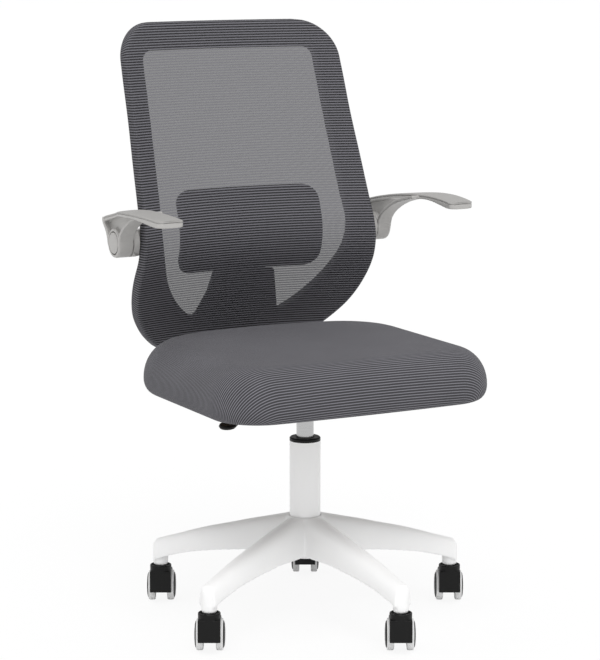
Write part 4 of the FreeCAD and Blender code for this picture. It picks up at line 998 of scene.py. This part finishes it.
def mechanism_body():
    """Mechanism plate, with a shorter socket than its solid."""
    body = solid_copy("mechanism_plate")
    bmesh.ops.bisect_plane(body, geom=body.verts[:] + body.edges[:] + body.faces[:], dist=MERGE,
                           plane_co=(0, 0, SOCKET_END), plane_no=(0, 0, 1), clear_inner=True)
    bmesh.ops.bridge_loops(body, edges=[edge for edge in body.edges if edge.is_boundary])
    made = piece("mechanism_body", body, "seat", "black_steel", "mechanism_plate")
    made.data.set_sharp_from_angle(angle=math.radians(35))


def lever_grip():
    """Paddle on the lever's rod, slimmer than its solid and soft at its edges."""
    grip = solid_copy("lever_paddle")
    for vert in grip.verts:
        vert.co.z = GRIP_RAISED + (vert.co.z - GRIP_MIDDLE) * GRIP_SLIM
    piece("lever_grip", fused(grip, 0.8 * MM, 4), "lever", "black_plastic", "lever_paddle")


# Casters: a hood over the axle, and wheels of a light tread with a dark domed hub
TRAIL, WHEEL_RADIUS = 0.018, 0.025
# Turned profiles about the stem and the axle: radius and length, in mm
CUP = ((17.2, 50.0), (17.6, 57.0), (17.7, 64.2), (17.2, 65.4), (15.6, 65.4), (15.0, 64.6), (14.6, 60.0),
       (6.2, 60.0), (6.2, 50.0), (17.2, 50.0))
TREAD = ((3.2, 10.0), (22.6, 10.0), (24.3, 10.5), (25.0, 12.0), (25.0, 18.6), (24.5, 20.2), (23.2, 21.0),
         (21.6, 21.0), (21.3, 20.0), (3.2, 20.0), (3.2, 10.0))
HUB_DOME = ((0, 21.3), (3.4, 21.3), (3.4, 20.2), (20.9, 20.2), (21.1, 21.2), (20.5, 22.2), (17.0, 23.2),
            (10.0, 23.8), (0, 24.0))


def caster(number):
    """Soft-edged hood with the cup round its stem, and two wheels."""
    angle = HEADING + (number - 1) * LEG_TURN
    stem = Vector((STEM_RADIUS * math.cos(angle), STEM_RADIUS * math.sin(angle), 0.0))
    ahead = Vector((math.cos(HEADING), math.sin(HEADING), 0.0))
    axle = stem + ahead * TRAIL + Vector((0.0, 0.0, WHEEL_RADIUS))
    hood = solid_copy("caster_%d_hood" % number)
    merge_into(hood, turned_part(CUP, (0, 0, 1), stem))
    piece("hood_%d" % number, fused(hood, 0.8 * MM, 3), "caster_%d" % number, "black_plastic",
          "caster_%d_hood" % number)
    for side, name in ((-1, "right"), (1, "left")):
        out = Vector((-math.sin(HEADING), math.cos(HEADING), 0.0)) * side
        body = "caster_%d_%s" % (number, name)
        piece("tread_%d_%s" % (number, name), turned_part(TREAD, out, axle), body, "wheel_rubber",
              "caster_%d_wheel_%s" % (number, name))
        piece("hub_%d_%s" % (number, name), turned_part(HUB_DOME, out, axle), body, "black_plastic")


star_base()
mechanism_body()
lever_grip()
for number in range(1, LEGS + 1):
    caster(number)


# Camera, light and floor
bpy.context.scene.view_settings.view_transform = "Standard"
camera_data = bpy.data.cameras.new("camera")
camera = bpy.data.objects.new("camera", camera_data)
bpy.context.scene.collection.objects.link(camera)
camera.location = (-1.7947, -3.3753, 1.1332)
camera.rotation_euler = (math.pi / 2 - 0.171, 0.0, -math.radians(28.0))
camera_data.lens = 132.2
camera_data.sensor_width = 36.0
camera_data.shift_x = -0.00764
camera_data.clip_end = 60.0
bpy.context.scene.camera = camera

# The sky's light on the chair, and the white that is seen behind it
SKY_LIGHT, SKY_SEEN = 0.75, 1.0
world = bpy.data.worlds.new("studio")
bpy.context.scene.world = world
world.use_nodes = True
sky = world.node_tree.nodes["Background"]
sky.inputs["Color"].default_value = (1.0, 1.0, 1.0, 1.0)
path = world.node_tree.nodes.new("ShaderNodeLightPath")
seen = world.node_tree.nodes.new("ShaderNodeMath")
seen.operation = "MAXIMUM"
world.node_tree.links.new(path.outputs["Is Camera Ray"], seen.inputs[0])
world.node_tree.links.new(path.outputs["Is Transmission Ray"], seen.inputs[1])
strength = world.node_tree.nodes.new("ShaderNodeMapRange")
world.node_tree.links.new(seen.outputs[0], strength.inputs["Value"])
strength.inputs["To Min"].default_value = SKY_LIGHT
strength.inputs["To Max"].default_value = SKY_SEEN
world.node_tree.links.new(strength.outputs[0], sky.inputs["Strength"])

# One broad, soft lamp from the camera's side and above
sun_data = bpy.data.lights.new("key", "SUN")
sun_data.energy = 1.5
sun_data.angle = math.radians(35)
sun = bpy.data.objects.new("key", sun_data)
sun.location = (-0.7, -1.8, 4.0)
sun.rotation_euler = (Vector((0, 0, 0.4)) - sun.location).to_track_quat("-Z", "Y").to_euler()
bpy.context.scene.collection.objects.link(sun)

# The floor looks like white paper, with a little of the chair's shadow
PAPER_SHARE = 0.9
floor_mesh = bmesh.new()
bmesh.ops.create_grid(floor_mesh, x_segments=1, y_segments=1, size=30.0)
floor_data = bpy.data.meshes.new("floor")
floor_mesh.to_mesh(floor_data)
floor_mesh.free()
floor = bpy.data.objects.new("floor", floor_data)
bpy.context.scene.collection.objects.link(floor)
floor_finish = Finish("studio floor")
floor_finish.set(base_color=floor_finish.between((0.9, 0.9, 0.9), (0.94, 0.94, 0.94),
                                                 floor_finish.noise(3.0)),
                 roughness=0.8 + 0.1 * floor_finish.noise(40.0))
paper = floor_finish.node("ShaderNodeEmission")
looked_at = floor_finish.node("ShaderNodeLightPath", output="Is Camera Ray")
mirrored = floor_finish.node("ShaderNodeLightPath", output="Is Glossy Ray")
through = floor_finish.node("ShaderNodeLightPath", output="Is Transmission Ray")
lit = Socket(floor_finish, floor_finish.shader.outputs[0])
bare = (looked_at + mirrored + through) * PAPER_SHARE
floor_look = floor_finish.node("ShaderNodeMixShader", None, {0: bare, 1: lit, 2: paper})
floor_finish.tree.links.new(floor_look.socket, floor_finish.tree.nodes["Material Output"].inputs["Surface"])
floor_data.materials.append(floor_finish.material)
